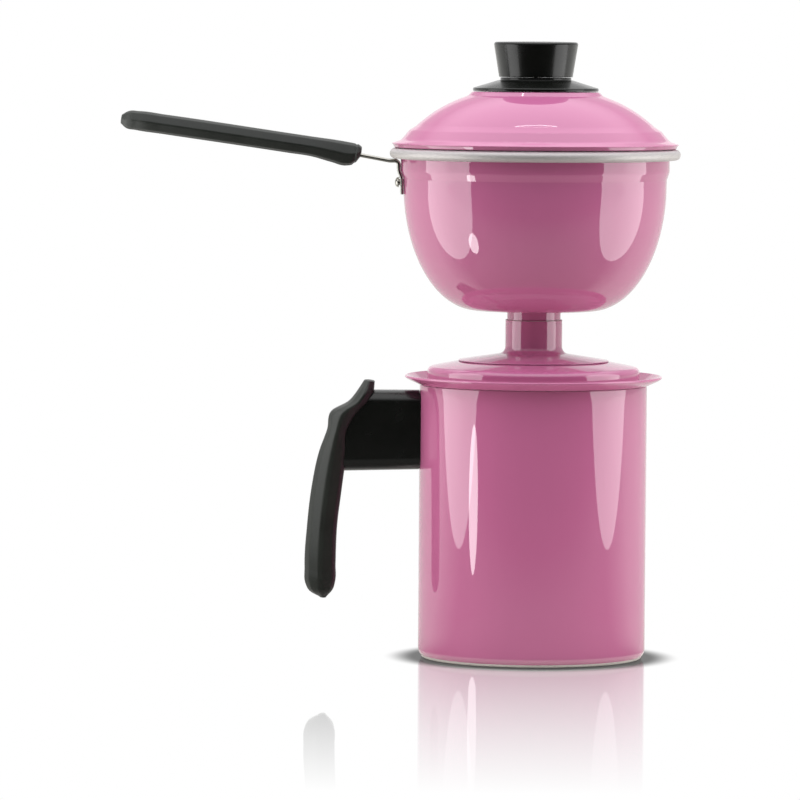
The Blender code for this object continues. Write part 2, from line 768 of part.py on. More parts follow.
def strap_outline():
    """The strap's side view: tang, run under the rim, and leg down the wall."""
    root, front = strap_bends()
    end = front + Vector((-math.cos(BOWL_GRIP_TILT), math.sin(BOWL_GRIP_TILT))) * TANG_LENGTH
    corner = (-BAND_RADIUS - GAP, root.y)
    middle = [tuple(end), tuple(front), tuple(root), corner]
    upper = offset(middle, -STRAP_THICKNESS / 2)
    lower = offset(middle, STRAP_THICKNESS / 2)
    knee = (corner[0] - STRAP_THICKNESS, lower[3][1])
    inner = strap_leg(GAP)
    outer = strap_leg(GAP + STRAP_THICKNESS)
    return upper + inner + list(reversed(outer)) + [knee] + list(reversed(lower[:3]))


def bowl_grip_frame():
    """A frame at the grip's bowl end: local X outward along it, local Z up across it."""
    front = strap_bends()[1]
    place = Matrix.Translation((front.x, 0.0, front.y))
    return place @ Matrix.Rotation(math.pi, 4, "Z") @ Matrix.Rotation(-BOWL_GRIP_TILT, 4, "Y")


def make_bowl(parts, cutters):
    """The bowl with its rolled rim, its pressed-in spigot and its riveted handle."""
    bowl = shell("bowl_shell", bowl_line(), BOWL_WALL, parts)
    spigot = shell("bowl_spigot", spigot_line(), BOWL_WALL, parts)
    finish("pink_lacquer", bowl)
    finish("pink_lacquer", spigot)
    strap = slab("bowl_handle_strap", strap_outline(), STRAP_WIDTH, parts)
    finish("bright_steel", strap)

    facet = math.tan(math.pi / TURNED_STEPS)
    reach = BOWL_RIVET_SPACING / 2 + BOWL_RIVET_HEAD_RADIUS
    inner_seat = BOWL_RADIUS - BOWL_WALL - reach * facet - GAP
    outer_seat = BOWL_RADIUS + GAP + STRAP_THICKNESS + GAP
    for name, side in (("left", -1), ("right", 1)):
        place = along_minus_x(0.0, side * BOWL_RIVET_SPACING / 2, BOWL_TOP - BOWL_RIVET_DROP)
        way = BOWL_RIVET_RADIUS + GAP
        hole = rod("bowl_rivet_way_" + name, way, inner_seat, outer_seat, cutters, place)
        cut(bowl, hole)
        cut(strap, hole)
        sizes = (BOWL_RIVET_RADIUS, BOWL_RIVET_HEAD_RADIUS, BOWL_RIVET_HEAD, BOWL_RIVET_TAIL)
        pin = rivet("bowl_rivet_" + name, sizes, inner_seat, outer_seat, parts, place)
        finish("bright_steel", pin)

    frame = bowl_grip_frame()
    half = BOWL_GRIP_WIDTH / 2
    stations = []
    for along, high, low, share in BOWL_GRIP_STATIONS:
        place = along * BOWL_GRIP_LENGTH
        edges = (place, low * BOWL_GRIP_HEIGHT), (place, high * BOWL_GRIP_HEIGHT)
        stations.append((*edges, half * share))
    grip = loft("bowl_handle_grip", stations, BOWL_GRIP_SECTION, parts)
    grip.matrix_world = frame
    finish("charcoal_phenolic", grip)
    slot_half = STRAP_THICKNESS / 2 + GAP
    tang_half = STRAP_WIDTH / 2 + GAP
    tang_space = box(
        "tang_space",
        (-CUTTER_MARGIN, -tang_half, -slot_half),
        (TANG_LENGTH + GAP, tang_half, slot_half),
        cutters,
        frame,
    )
    up = frame @ Matrix.Translation((BOWL_SCREW_PLACE, 0.0, 0.0)) @ Matrix.Rotation(math.pi, 4, "X")
    way = BOWL_SCREW_RADIUS + GAP
    screw_space = rod("bowl_screw_space", way, -slot_half, BOWL_SCREW_SEAT + GAP, cutters, up)
    recess_end = BOWL_SCREW_SEAT + BOWL_GRIP_HEIGHT
    wide = BOWL_SCREW_HEAD_RADIUS + GAP
    recess = rod("bowl_screw_recess", wide, BOWL_SCREW_SEAT, recess_end, cutters, up)
    tang_hole = rod("tang_hole", way, -STRAP_THICKNESS, STRAP_THICKNESS, cutters, up)
    cut(grip, tang_space, screw_space, recess)
    cut(strap, tang_hole)

    sizes = (BOWL_SCREW_RADIUS, BOWL_SCREW_HEAD_RADIUS, BOWL_SCREW_HEAD)
    end = -STRAP_THICKNESS / 2
    screw("bowl_handle_screw", sizes, BOWL_SCREW_SEAT + GAP, end, parts, cutters, up)


def make_sieve(parts, cutters):
    """The perforated plate: one hole in the middle and rings of six, twelve and so on."""
    sieve = shell("sieve_plate", sieve_line(), SIEVE_SHEET, parts)
    finish("bare_aluminium", sieve)
    floor = BOWL_BOTTOM + SIEVE_HEIGHT
    mesh = bpy.data.meshes.new("sieve_holes")
    shape = bmesh.new()
    places = [(0.0, 0.0)]
    for ring in range(1, SIEVE_RINGS + 1):
        for index in range(6 * ring):
            angle = math.tau * index / (6 * ring)
            radius = ring * SIEVE_PITCH
            places.append((radius * math.cos(angle), radius * math.sin(angle)))
    for x, y in places:
        bmesh.ops.create_cone(
            shape, cap_ends=True, segments=HOLE_STEPS,
            radius1=SIEVE_HOLE_RADIUS, radius2=SIEVE_HOLE_RADIUS,
            depth=SIEVE_SHEET + CUTTER_MARGIN,
            matrix=Matrix.Translation((x, y, floor + SIEVE_SHEET / 2)),
        )
    shape.to_mesh(mesh)
    shape.free()
    cut(sieve, add_object("sieve_holes", mesh, cutters))


def make_lid(parts, cutters):
    """The domed lid with its plate, knob and fixing."""
    dome = turned("lid_dome", dome_line(), parts, closed=True)
    finish("pink_lacquer", dome)

    screw_way = KNOB_SCREW_RADIUS + GAP
    plate_top = PLATE_SEAT + PLATE_RISE
    plate = turned("knob_plate", [
        (screw_way, plate_top + NECK_RISE),
        (NECK_RADIUS, plate_top + NECK_RISE),
        (NECK_RADIUS, plate_top),
        (PLATE_TOP_RADIUS, plate_top),
        (PLATE_RADIUS, PLATE_SEAT + PLATE_EDGE),
        (PLATE_RADIUS, PLATE_SEAT),
        (screw_way, PLATE_SEAT),
    ], parts, closed=True)
    finish("black_phenolic", plate)

    bore = INSERT_RADIUS + GAP
    bore_end = INSERT_SEAT + INSERT_LENGTH + GAP
    knob_top = KNOB_SEAT + KNOB_HEIGHT
    sides = rounded([
        (0.0, knob_top, 0),
        (KNOB_TOP_RADIUS, knob_top - KNOB_DOME, KNOB_EDGE),
        (KNOB_FOOT_RADIUS, KNOB_SEAT, 0),
    ])
    knob = turned("knob", sides + [(bore, KNOB_SEAT), (bore, bore_end), (0.0, bore_end)], parts)
    finish("black_phenolic", knob)

    insert = turned("knob_insert", [
        (screw_way, INSERT_SEAT + INSERT_LENGTH),
        (INSERT_RADIUS, INSERT_SEAT + INSERT_LENGTH),
        (INSERT_RADIUS, INSERT_SEAT),
        (screw_way, INSERT_SEAT),
    ], parts, steps=SMALL_STEPS, closed=True)
    finish("brass", insert)

    washer_top = DOME_TOP - DOME_SHEET - GAP
    washer = turned("knob_washer", [
        (screw_way, washer_top),
        (WASHER_RADIUS, washer_top),
        (WASHER_RADIUS, washer_top - WASHER_THICKNESS),
        (screw_way, washer_top - WASHER_THICKNESS),
    ], parts, steps=SMALL_STEPS, closed=True)
    finish("bright_steel", washer)

    turn_over = Matrix.Rotation(math.pi, 4, "X")
    sizes = (KNOB_SCREW_RADIUS, KNOB_SCREW_HEAD_RADIUS, KNOB_SCREW_HEAD)
    seat = -(washer_top - WASHER_THICKNESS - GAP)
    end = -(INSERT_SEAT + INSERT_LENGTH * SCREW_FILL)
    screw("knob_screw", sizes, seat, end, parts, cutters, turn_over)


def main():
    """Build the steamer."""
    clear_scene()
    parts = new_collection("couscous_steamer")
    cutters = new_collection("cutters")
    make_mug(parts, cutters)
    make_steam_lid(parts)
    make_bowl(parts, cutters)
    make_sieve(parts, cutters)
    make_lid(parts, cutters)


main()
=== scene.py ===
"""Couscous steamer: the finish of every surface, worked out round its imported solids.

The solids give each piece's place and reach. The pieces here are the same shapes made
fine: turned lines carried round the axis, grips lofted through stations, and a strap
carried along its own bends. Metres, +Z up, both handles to -X.
"""

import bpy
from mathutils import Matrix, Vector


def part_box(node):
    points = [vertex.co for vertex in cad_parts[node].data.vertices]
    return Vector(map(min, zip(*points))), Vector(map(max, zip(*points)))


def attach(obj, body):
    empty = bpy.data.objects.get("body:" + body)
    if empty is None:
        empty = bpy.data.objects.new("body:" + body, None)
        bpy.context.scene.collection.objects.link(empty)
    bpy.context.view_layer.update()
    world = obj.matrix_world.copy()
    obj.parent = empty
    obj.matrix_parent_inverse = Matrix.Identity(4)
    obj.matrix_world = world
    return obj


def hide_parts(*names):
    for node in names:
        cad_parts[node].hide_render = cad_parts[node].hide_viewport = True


bl_info = {
    "name": "Couscous Steamer",
    "version": (1, 0, 0),
    "blender": (4, 5, 0),
    "location": "3D View > Sidebar > Steamer",
    "description": "Builds a lacquered couscous steamer and the studio it stands in",
    "category": "Object",
}

import math

import bpy
import numpy as np
from mathutils import Matrix, Vector
from bpy.props import FloatProperty, FloatVectorProperty, IntProperty, PointerProperty

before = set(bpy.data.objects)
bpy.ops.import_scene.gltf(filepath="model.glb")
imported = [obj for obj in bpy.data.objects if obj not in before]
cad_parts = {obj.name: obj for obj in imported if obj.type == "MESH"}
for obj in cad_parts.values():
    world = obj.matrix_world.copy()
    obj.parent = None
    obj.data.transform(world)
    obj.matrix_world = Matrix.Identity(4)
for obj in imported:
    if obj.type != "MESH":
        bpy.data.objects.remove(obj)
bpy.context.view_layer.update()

# The mug's mouth, its lid, the tube, the bowl's foot and the plate in it are drawn this
# much above their solids
MIDDLE_RISE = 0.0015


def reach(node, foot_rise=0.0, top_rise=0.0):
    """A turned solid's radius, and its lowest and highest height with what each rises."""
    low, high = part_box(node)
    return high.x, low.z + foot_rise, high.z + top_rise


MUG_RADIUS, MUG_FOOT, MUG_TOP = reach("mug_body", 0.0, MIDDLE_RISE)
BRIM_RADIUS, GROOVE_FOOT, LEDGE = reach("mug_lid", MIDDLE_RISE, MIDDLE_RISE)
FOOT_RADIUS, _, TUBE_TOP = reach("steam_tube", MIDDLE_RISE, MIDDLE_RISE)
RIM_RADIUS, BOWL_FOOT, BOWL_TOP = reach("bowl_shell", MIDDLE_RISE)
FLANGE_RADIUS, SPIGOT_FOOT, _ = reach("bowl_spigot", MIDDLE_RISE)
SIEVE_RADIUS, SIEVE_FOOT, SIEVE_TOP = reach("sieve_plate", MIDDLE_RISE, MIDDLE_RISE)
DOME_RADIUS, SKIRT_FOOT, DOME_TOP = reach("lid_dome")
PLATE_RADIUS, PLATE_FOOT, PLATE_TOP = reach("knob_plate")
KNOB_RADIUS, KNOB_FOOT, KNOB_TOP = reach("knob")
WASHER_RADIUS, WASHER_FOOT, WASHER_TOP = reach("knob_washer")
KNOB_SCREW_RADIUS, KNOB_SCREW_FOOT, KNOB_SCREW_TOP = reach("knob_screw")

# Points nearer than this are one, a bend has a point every so many degrees, and an edge
# is drawn sharp past so many degrees
MERGE = 1e-8
TURN = math.tau
FINE_BEND = math.radians(7.5)
CREASE = 35.0
TO_MINUS_X = Matrix.Rotation(-math.pi / 2, 4, "Y")
UPSIDE_DOWN = Matrix.Rotation(math.pi, 4, "X")

# Steps round the perforated plate and the washer, and round screws and rivets
PLATE_FACETS = 96
SMALL_FACETS = 64

# The screws' pointed end and their slot
SCREW_POINT = 0.0003
SLOT_DEPTH = 0.0008
SLOT_SHARE = 0.12

# The washer's upper and lower bend
WASHER_BENDS = (0.0002, 0.0003)

# Radius of the shank and height of the head, and of a rivet's second head
KNOB_SCREW = (0.0020, 0.0024)
MUG_SCREW = (0.0020, 0.0024)
BOWL_SCREW = (0.0015, 0.0018)
MUG_RIVET = (0.0020, 0.0012, 0.0012)
BOWL_RIVET = (0.0016, 0.0021, 0.0012)


def size(label, text, default):
    """A length that a user may change."""
    return FloatProperty(
        name=label, description=text, default=default, min=0.0, precision=5, unit="LENGTH"
    )


def number(label, text, default, top=1.0):
    """A plain number that a user may change."""
    return FloatProperty(name=label, description=text, default=default, min=0.0, max=top)


def tone(label, text, default):
    """A colour, written as sRGB, that a user may change."""
    return FloatVectorProperty(
        name=label, description=text, default=default, min=0.0, max=1.0, size=3,
        subtype="COLOR_GAMMA",
    )


class SheetSizes(bpy.types.PropertyGroup):
    """What all the sheet-metal pieces share."""

    facets: IntProperty(
        name="Facets", description="Steps round every turned piece", default=256, min=32
    )
    lacquer: size("Lacquer", "Thickness of the lacquer", 0.00012)
    lap: size("Lap", "How far the lacquer's back lies in the metal", 0.00004)


class MugSizes(bpy.types.PropertyGroup):
    """The water pot."""

    wall: size("Wall", "Thickness of the sheet", 0.0012)
    corner: size("Base corner", "Radius between the wall and the base", 0.0050)
    bare_edge: number("Bare edge", "Share of the base corner's arc left bare", 0.50)
    land_slope: number("Land slope", "Degrees that the bare land leans in", 20.0, 90.0)
    land_foot: size("Land foot", "Height of the bare land's foot", 0.0004)
    land_bend: size("Land bend", "Radius at the bare land's foot", 0.0005)
    painted_lip: number("Painted lip", "Share of the rim's half circle that is painted", 0.8)
    ring_radius: size("Base ring", "Radius of the ring pressed in the base", 0.0440)
    ring_width: size("Ring width", "Width of the pressed ring", 0.0026)
    ring_depth: size("Ring depth", "Depth of the pressed ring", 0.0004)


class SteamLidSizes(bpy.types.PropertyGroup):
    """The funnel lid and its tube."""

    sheet: size("Sheet", "Thickness of the lid's sheet", 0.0008)
    fit: size("Fit", "Play between the lid and the mug", 0.0003)
    groove: size("Groove", "Width of the groove inside the mug's mouth", 0.0016)
    groove_bend: number("Groove bend", "Radius in the groove as a share of its width", 0.45)
    edge_bend: number("Edge bend", "Radius over the mug's mouth as a share of the sheet", 1.2, 5.0)
    shoulder_rise: size("Shoulder", "Height of the shoulder over the mug's rim", 0.0091)
    shoulder_bend: size("Shoulder bend", "Radius of the shoulder", 0.0032)
    cone_rise: size("Cone", "Rise from the shoulder to the foot", 0.0036)
    cone_bend: size("Cone bend", "Radius at the cone's inner edge", 0.0002)
    brim_rise: size("Brim", "Rise of the brim over its flat", 0.0038)
    brim_bend: size("Brim bend", "Radius where the brim turns up", 0.0015)
    hem: size("Hem", "Thickness of the brim's folded edge", 0.0015)
    hem_width: size("Hem width", "How far the edge is folded back", 0.0018)
    ledge_radius: size("Ledge", "Radius of the ledge that carries the spigot", 0.0200)
    ledge_bend: size("Ledge bend", "Radius at the ledge's edge", 0.0015)
    hole_radius: size("Steam hole", "Radius of the steam hole", 0.0125)
    tube_radius: size("Tube", "Outer radius of the steam tube", 0.0150)
    tube_wall: size("Tube wall", "Thickness of the tube's sheet", 0.0006)
    tube_flare: size("Flare", "Radius between the tube and its foot", 0.0040)
    foot_slope: number("Foot slope", "Slope of the foot in degrees", 9.0, 45.0)
    foot_edge: size("Foot edge", "How far the foot's edge stands over the cone", 0.0003)
    seam: size("Seam", "How far the cone is drawn down at the foot's edge", 0.0004)


class BowlSizes(bpy.types.PropertyGroup):
    """The couscous bowl and its perforated plate."""

    wall: size("Wall", "Thickness of the sheet", 0.0009)
    flat_radius: size("Flat", "Radius of the flat bottom", 0.0305)
    radius: size("Radius", "Outer radius at the collar", 0.0694)
    curve: size("Curve height", "Height of the curved side", 0.0663)
    collar: size("Collar", "Straight height above the curve", 0.0030)
    collar_lean: size("Collar lean", "How much wider the collar is at its top", 0.0001)
    collar_bend: size("Collar bend", "Radius at the collar's top", 0.0004)
    step_out: size("Step out", "How far the band stands out", 0.0015)
    step_height: size("Step height", "Height over which the band steps out", 0.0040)
    band_bend: size("Band bend", "Radius at the band's foot", 0.0050)
    rim_bend: size("Rim bend", "Radius of the bends between the band and the rim", 0.0020)
    bead: size("Bead", "Radius of the rolled rim", 0.00275)
    bead_opening: number("Bead opening", "Degrees left open in the rolled rim", 50.0, 180.0)
    sieve_sheet: size("Plate sheet", "Thickness of the perforated plate", 0.0010)
    sieve_bend: size("Plate bend", "Radius of the plate's upturned rim", 0.0015)
    sieve_hole: size("Plate hole", "Radius of one hole", 0.0012)
    sieve_pitch: size("Plate pitch", "Distance between rings of holes", 0.0068)
    sieve_margin: size("Plate margin", "From the plate's rim to the last ring", 0.0040)


class LidSizes(bpy.types.PropertyGroup):
    """The domed lid with its plate and knob."""

    sheet: size("Sheet", "Thickness of the sheet", 0.0008)
    top_radius: size("Top", "Radius of the flat top", 0.0335)
    top_bend: size("Top edge", "Bend at the flat top's edge", 0.0015)
    foot_bend: size("Top foot", "Bend at the foot of the step round the top", 0.0020)
    bend_radius: size("Top bend", "Radius at the foot of the bend round the top", 0.0356)
    bend_drop: size("Top bend drop", "Drop from the flat top to that foot", 0.0021)
    foot_radius: size("Curve start", "Radius where the dome's curve starts", 0.0380)
    foot_drop: size("Top drop", "Drop from the flat top to the curve", 0.0030)
    bulge: size("Bulge", "How far the dome's side bulges", 0.0015)
    edge_radius: size("Dome edge", "Radius at the foot of the dome", 0.0628)
    edge_rise: size("Dome edge rise", "Height of the dome's foot over the rim", 0.0118)
    stamp_width: size("Stamp width", "Width of the stamped shoulder", 0.0037)
    stamp_drop: size("Stamp drop", "Drop of the stamped shoulder", 0.0023)
    stamp_bend: size("Stamp bend", "Bend at the stamped shoulder's foot", 0.0040)
    flare_bend: size("Flare bend", "Bend where the brim flares out", 0.0045)
    flare_radius: size("Flare", "Radius where the brim flares out", 0.0708)
    flare_rise: size("Flare rise", "Height of the flare over the rim", 0.0043)
    rim_rise: size("Brim rise", "Height of the brim's edge over the rim", 0.0028)
    hem: size("Hem", "Thickness of the brim's edge", 0.0008)
    lip_inset: size("Lip", "From the rim's radius in to the brim's lip", 0.00235)
    seat_fit: size("Seat", "Play between the brim and the rim", 0.0003)
    skirt: size("Skirt", "Radius of the skirt inside the rim", 0.0697)
    screw_way: size("Screw hole", "Radius of the hole for the screw", 0.0023)
    plate_edge: size("Plate edge", "Thickness of the plate's edge", 0.0016)
    plate_top: size("Plate top", "Radius of the plate's top", 0.0195)
    plate_bend: size("Plate bend", "Bend at the plate's upper edge", 0.0008)
    rim_bend: size("Plate rim bend", "Bend at the top of the plate's rim", 0.0006)
    small_bend: size("Small bend", "Bend of the other moulded edges", 0.0003)
    neck_radius: size("Neck", "Radius of the neck under the knob", 0.0187)
    neck_rise: size("Neck rise", "Height of that neck", 0.0013)
    knob_grow: size("Knob growth", "How much wider than its solid the knob is", 0.0003)
    knob_foot: size("Knob foot", "Radius of the knob's foot", 0.0194)
    knob_edge: size("Knob edge", "Radius of the knob's upper edge", 0.0013)
    knob_dome: size("Knob dome", "Rise of the knob's domed top", 0.0004)
    knob_bend: size("Knob foot bend", "Bend at the knob's foot", 0.0004)
    knob_bore: size("Knob bore", "Radius of the bore for the insert", 0.0048)


class GripSizes(bpy.types.PropertyGroup):
    """Both handles."""

    reach: size("Reach", "From the mug's wall to the grip", 0.0384)
    neck_drop: size("Neck drop", "From the mug's rim to the neck's top", 0.0045)
    neck_height: size("Neck height", "Height of the neck block", 0.0413)
    neck_depth: size("Neck depth", "Width of the neck block across", 0.0180)
    neck_lift: size("Neck lift", "How far the neck's top is drawn above the solid's", 0.0012)
    neck_round: size("Neck edge", "Radius of the neck's long edges", 0.0065)
    neck_taper: size("Neck taper", "How much lower the neck is at the grip", 0.0012)
    mug_length: size("Mug grip", "Length of the mug's grip", 0.1146)
    mug_sweep: size("Mug grip sweep", "How far the mug's grip sweeps out", 0.0365)
    mug_width: size("Mug grip width", "Width of the mug's grip across", 0.0240)
    bowl_length: size("Bowl grip", "Length of the bowl's grip", 0.1272)
    bowl_height: size("Bowl grip height", "Height of the bowl's grip", 0.0102)
    bowl_width: size("Bowl grip width", "Width of the bowl's grip across", 0.0200)
    bowl_tilt: number("Bowl grip tilt", "Degrees that the bowl's grip rises", 8.1, 45.0)
    bowl_out: size("Bowl grip place", "From the bowl's rim out to the grip's front", 0.01544)
    bowl_rise: size("Bowl grip rise", "From the strap's root up to the grip's middle", 0.00283)
    mug_tuck: size("Mug grip ends", "How far the mug grip's ends are rounded off", 0.0008)
    bowl_tuck: size("Bowl grip ends", "How far the bowl grip's ends are rounded off", 0.0004)
    collar_place: size("Collar line", "From the grip's front to its collar line", 0.0028)
    collar_depth: size("Collar depth", "Depth of that line", 0.0004)
    collar_line: size("Collar width", "Half the width of that line", 0.00035)
    bowl_screw_place: size("Bowl screw", "From the grip's front to its screw", 0.0110)
    bowl_screw_seat: size("Bowl screw seat", "From the grip's middle to the screw's seat", 0.0040)
    bowl_screw_head: size("Bowl screw head", "Radius of the screw's head", 0.0032)
    mug_screw_seat: size("Mug screw seat", "From the grip's root to the screw's seat", 0.0050)
    mug_screw_head: size("Mug screw head", "Radius of the screw's head", 0.0037)


class StrapSizes(bpy.types.PropertyGroup):
    """The steel strap between the bowl and its grip."""

    leg: size("Leg", "Thickness of the leg on the wall", 0.0015)
    width: size("Width", "Width across", 0.0140)
    fit: size("Fit", "Play between the strap and the bowl", 0.0003)
    foot_drop: size("Foot drop", "From the rim's top to the leg's foot", 0.0244)
    slope: number("Slope", "Degrees that the strap rises", 10.3, 45.0)
    leg_edge: number("Leg edge", "Power that squares the round edge on the leg", 0.40)
    under: number("Underside", "Share by which the run is thicker below", 0.60)
    thinning: size("Thinning", "Drop over which the leg thins", 0.0100)
    tang: size("Tang", "Length inside the grip", 0.0300)
    knee: size("Knee", "Radius of the bend at the wall", 0.0022)
    root_bend: size("Root bend", "Radius of the bend under the rim", 0.0040)
    grip_bend: size("Grip bend", "Radius of the bend at the grip", 0.0060)
    leg_start: number("Leg start", "From the root down to the leg in radii of the knee", 1.6, 5.0)


class FinishTones(bpy.types.PropertyGroup):
    """Colours of the finishes."""

    pink: tone("Pink lacquer", "The lacquer", (0.733, 0.402, 0.556))
    bare: tone("Bare aluminium", "Spun metal without lacquer", (0.82, 0.80, 0.79))
    steel: tone("Steel", "Strap, rivets and screws", (0.76, 0.75, 0.72))
    gloss: tone("Gloss phenolic", "Knob, plate and neck", (0.042, 0.050, 0.040))
    matte: tone("Matte phenolic", "Both grips", (0.104, 0.118, 0.100))
    brass: tone("Brass", "The knob's insert", (0.78, 0.62, 0.32))


class StudioValues(bpy.types.PropertyGroup):
    """Camera, lamps and floor."""

    lens: number("Lens", "Focal length in millimetres", 278.1, 1000.0)
    distance: size("Distance", "From the camera to the steamer's axis", 3.26)
    height: size("Height", "Height of the camera", 0.338)
    aside: FloatProperty(
        name="Aside", description="Camera's place along X", default=-0.0704, unit="LENGTH"
    )
    pitch: number("Pitch", "Degrees that the camera looks down", 3.55, 90.0)
    roll: number("Roll", "Degrees that the camera leans", 0.4, 90.0)
    side_power: number("Side lamps", "Watts of each side lamp", 0.34, 100.0)
    bar_power: number("Top bar", "Watts of the bar lamp overhead", 0.09, 100.0)
    glint_power: number("Glint lamp", "Watts of the small lamp at the front", 0.05, 10.0)
    front: number("Front", "What gloss sees of the surround at the front", 0.02, 4.0)
    back: number("Back", "What gloss sees of the surround at the back", 0.62, 4.0)
    sky: number("Sky", "What gloss sees of the surround overhead", 1.30, 4.0)
    fill_front: number("Front fill", "Soft light from the front", 0.10, 4.0)
    fill_back: number("Back fill", "Soft light from behind", 0.60, 4.0)
    fill_sky: number("Sky fill", "Soft light from overhead", 3.0, 4.0)
    cool: number("Cool sky", "Red and green of that soft light, next to its blue", 0.85)
    floor_tone: number("Floor", "How much light the floor throws back", 0.56)
    # How gloss sees the floor is painted: darker in front, lighter behind and next to the mug
    floor_front: number("Floor before", "How light gloss sees the floor in front", 0.13)
    floor_back: number("Floor behind", "How light gloss sees the floor behind", 0.48)
    floor_near: number("Floor near", "How light gloss sees the floor at the mug", 0.80)
    mirror: number("Mirror", "Share of the floor's mirror image at the mug", 0.63)
    mirror_reach: size("Mirror reach", "Where the mirror image has faded away", 0.58)
    # The contact shadow is painted: a ring of darker floor tone round the mug
    contact: number("Contact shadow", "What is left of the floor's tone at the mug", 0.21)
    shadow_reach: size("Shadow reach", "Where the contact shadow ends", 0.079)


# Lines and surfaces

def unit(vectors):
    """Vectors of length one."""
    return vectors / np.linalg.norm(vectors, axis=-1, keepdims=True)


def arc(centre, radius, start, end, steps):
    """Points on a circle: the centre plus the radius times (cosine, sine) of the angle."""
    angles = np.linspace(start, end, steps + 1)
    return np.asarray(centre) + radius * np.stack([np.cos(angles), np.sin(angles)], axis=-1)


def rounded(corners, closed=False, fine=FINE_BEND):
    """A line through (radius, height, bend) corners.

    Each bend is the arc of a circle that touches both of its sides: its centre lies on
    the line that halves the corner, at bend / sin(half the corner's angle).
    """
    last = len(corners) - 1
    line = []
    for index, (x, y, bend) in enumerate(corners):
        here = np.array((x, y))
        if not bend or (not closed and index in (0, last)):
            line.append(here[None])
            continue
        back = unit(np.array(corners[index - 1][:2]) - here)
        ahead = unit(np.array(corners[(index + 1) % len(corners)][:2]) - here)
        half = math.acos(np.clip(back @ ahead, -1.0, 1.0)) / 2
        centre = here + unit(back + ahead) * bend / math.sin(half)
        first = here + back * bend / math.tan(half) - centre
        final = here + ahead * bend / math.tan(half) - centre
        turn = math.atan2(first[0] * final[1] - first[1] * final[0], first @ final)
        steps = max(2, math.ceil(abs(turn) / fine))
        start = math.atan2(first[1], first[0])
        line.append(arc(centre, bend, start, start + turn, steps))
    return np.concatenate(line)


def offset(line, distance):
    """Move a line to its right by a distance: along each corner's halving line."""
    steps = np.diff(line, axis=0)
    sides = unit(np.stack([steps[:, 1], -steps[:, 0]], axis=-1))
    before = np.concatenate([sides[:1], sides])
    after = np.concatenate([sides, sides[-1:]])
    middle = unit(before + after)
    stretch = np.sum(middle * after, axis=-1, keepdims=True)
    return line + middle * distance / stretch


def band(line, start, end):
    """The closed section between a line moved by two distances."""
    return np.concatenate([offset(line, start), offset(line, end)[::-1]])


def turned_edge(line, thickness, steps=8):
    """The half circle that closes a sheet at the end of a line, turning to its right."""
    ahead = unit(line[-1] - line[-2])
    side = np.array((ahead[1], -ahead[0]))
    start = math.atan2(-side[1], -side[0])
    return arc(line[-1] + side * thickness / 2, thickness / 2, start, start - math.pi, steps)[1:]


def sheet_section(line, thickness):
    """The closed section of a sheet whose right side lies within, its edges rounded."""
    inside = offset(line, thickness)[::-1]
    far, near = turned_edge(line, thickness), turned_edge(inside, thickness)
    return np.concatenate([line, far, inside[1:], near[:-1]])


def coated(section, count, coat, lap):
    """The metal and the lacquer of a closed section that is painted on its first points.

    The metal is the section, drawn in by the coat where it is painted. The lacquer is
    the band from the painted face to a little below the metal's face.
    """
    metal = section.copy()
    metal[:count] = offset(section[:count], coat)
    return metal, band(section[:count], 0.0, coat + lap)


def radius_at(line, height):
    """The radius of a line that only falls, at a height."""
    order = np.argsort(line[:, 1])
    return float(np.interp(height, line[order, 1], line[order, 0]))


def surface(name, points, around=True, along=False, sharp=CREASE):
    """Put a grid of points into a mesh.

    Point (i, j) joins (i + 1, j) and (i, j + 1). The columns close when around is set,
    the rows when along is set, and a row that is all one point becomes a pole.
    """
    rows, columns = points.shape[:2]
    index = np.arange(rows * columns).reshape(rows, columns)
    pole = np.ptp(points, axis=1).max(axis=1) < MERGE
    index[pole] = index[pole][:, :1]
    if around:
        index = np.hstack([index, index[:, :1]])
    if along:
        index = np.vstack([index, index[:1]])
    corners = np.stack(
        [index[:-1, :-1], index[1:, :-1], index[1:, 1:], index[:-1, 1:]], axis=-1
    ).reshape(-1, 4)
    top = corners[:, 0] == corners[:, 3]
    foot = corners[:, 1] == corners[:, 2]
    quads = corners[~top & ~foot]
    fans = np.concatenate([corners[top & ~foot][:, :3], corners[foot & ~top][:, [0, 1, 3]]])
    used, places = np.unique(np.concatenate([quads.ravel(), fans.ravel()]), return_inverse=True)
    quads = places[: quads.size].reshape(-1, 4)
    fans = places[quads.size:].reshape(-1, 3)
    mesh = bpy.data.meshes.new(name)
    mesh.from_pydata(points.reshape(-1, 3)[used].tolist(), [], quads.tolist() + fans.tolist())
    mesh.shade_smooth()
    mesh.set_sharp_from_angle(angle=math.radians(sharp))
    return mesh


def revolve(name, line, facets):
    """Turn a closed line of (radius, height) points round Z.

    Point (i, j) is (radius i * cos angle j, radius i * sin angle j, height i).
    """
    angles = TURN * np.arange(facets) / facets
    radii = line[:, 0, None]
    heights = np.broadcast_to(line[:, 1, None], (len(line), facets))
    points = np.stack([radii * np.cos(angles), radii * np.sin(angles), heights], axis=-1)
    return surface(name, points, along=True)


def punches(name, centres, radius, low, high, facets=12):
    """Closed cylinders at many centres, in one mesh."""
    angles = TURN * np.arange(facets) / facets
    ring = radius * np.stack([np.cos(angles), np.sin(angles)], axis=-1)
    flat = centres[:, None] + ring[None]
    rows = [np.concatenate([flat, np.full((*flat.shape[:2], 1), z)], axis=-1) for z in (low, high)]
    points = np.concatenate(rows, axis=1).reshape(-1, 3)
    base = 2 * facets * np.arange(len(centres))[:, None]
    here = np.arange(facets)
    ahead = (here + 1) % facets
    sides = np.stack([here, ahead, ahead + facets, here + facets], axis=-1)
    quads = (base[..., None] + sides[None]).reshape(-1, 4)
    feet = base + here[::-1][None]
    tops = base + facets + here[None]
    mesh = bpy.data.meshes.new(name)
    mesh.from_pydata(points.tolist(), [], quads.tolist() + feet.tolist() + tops.tolist())
    return mesh


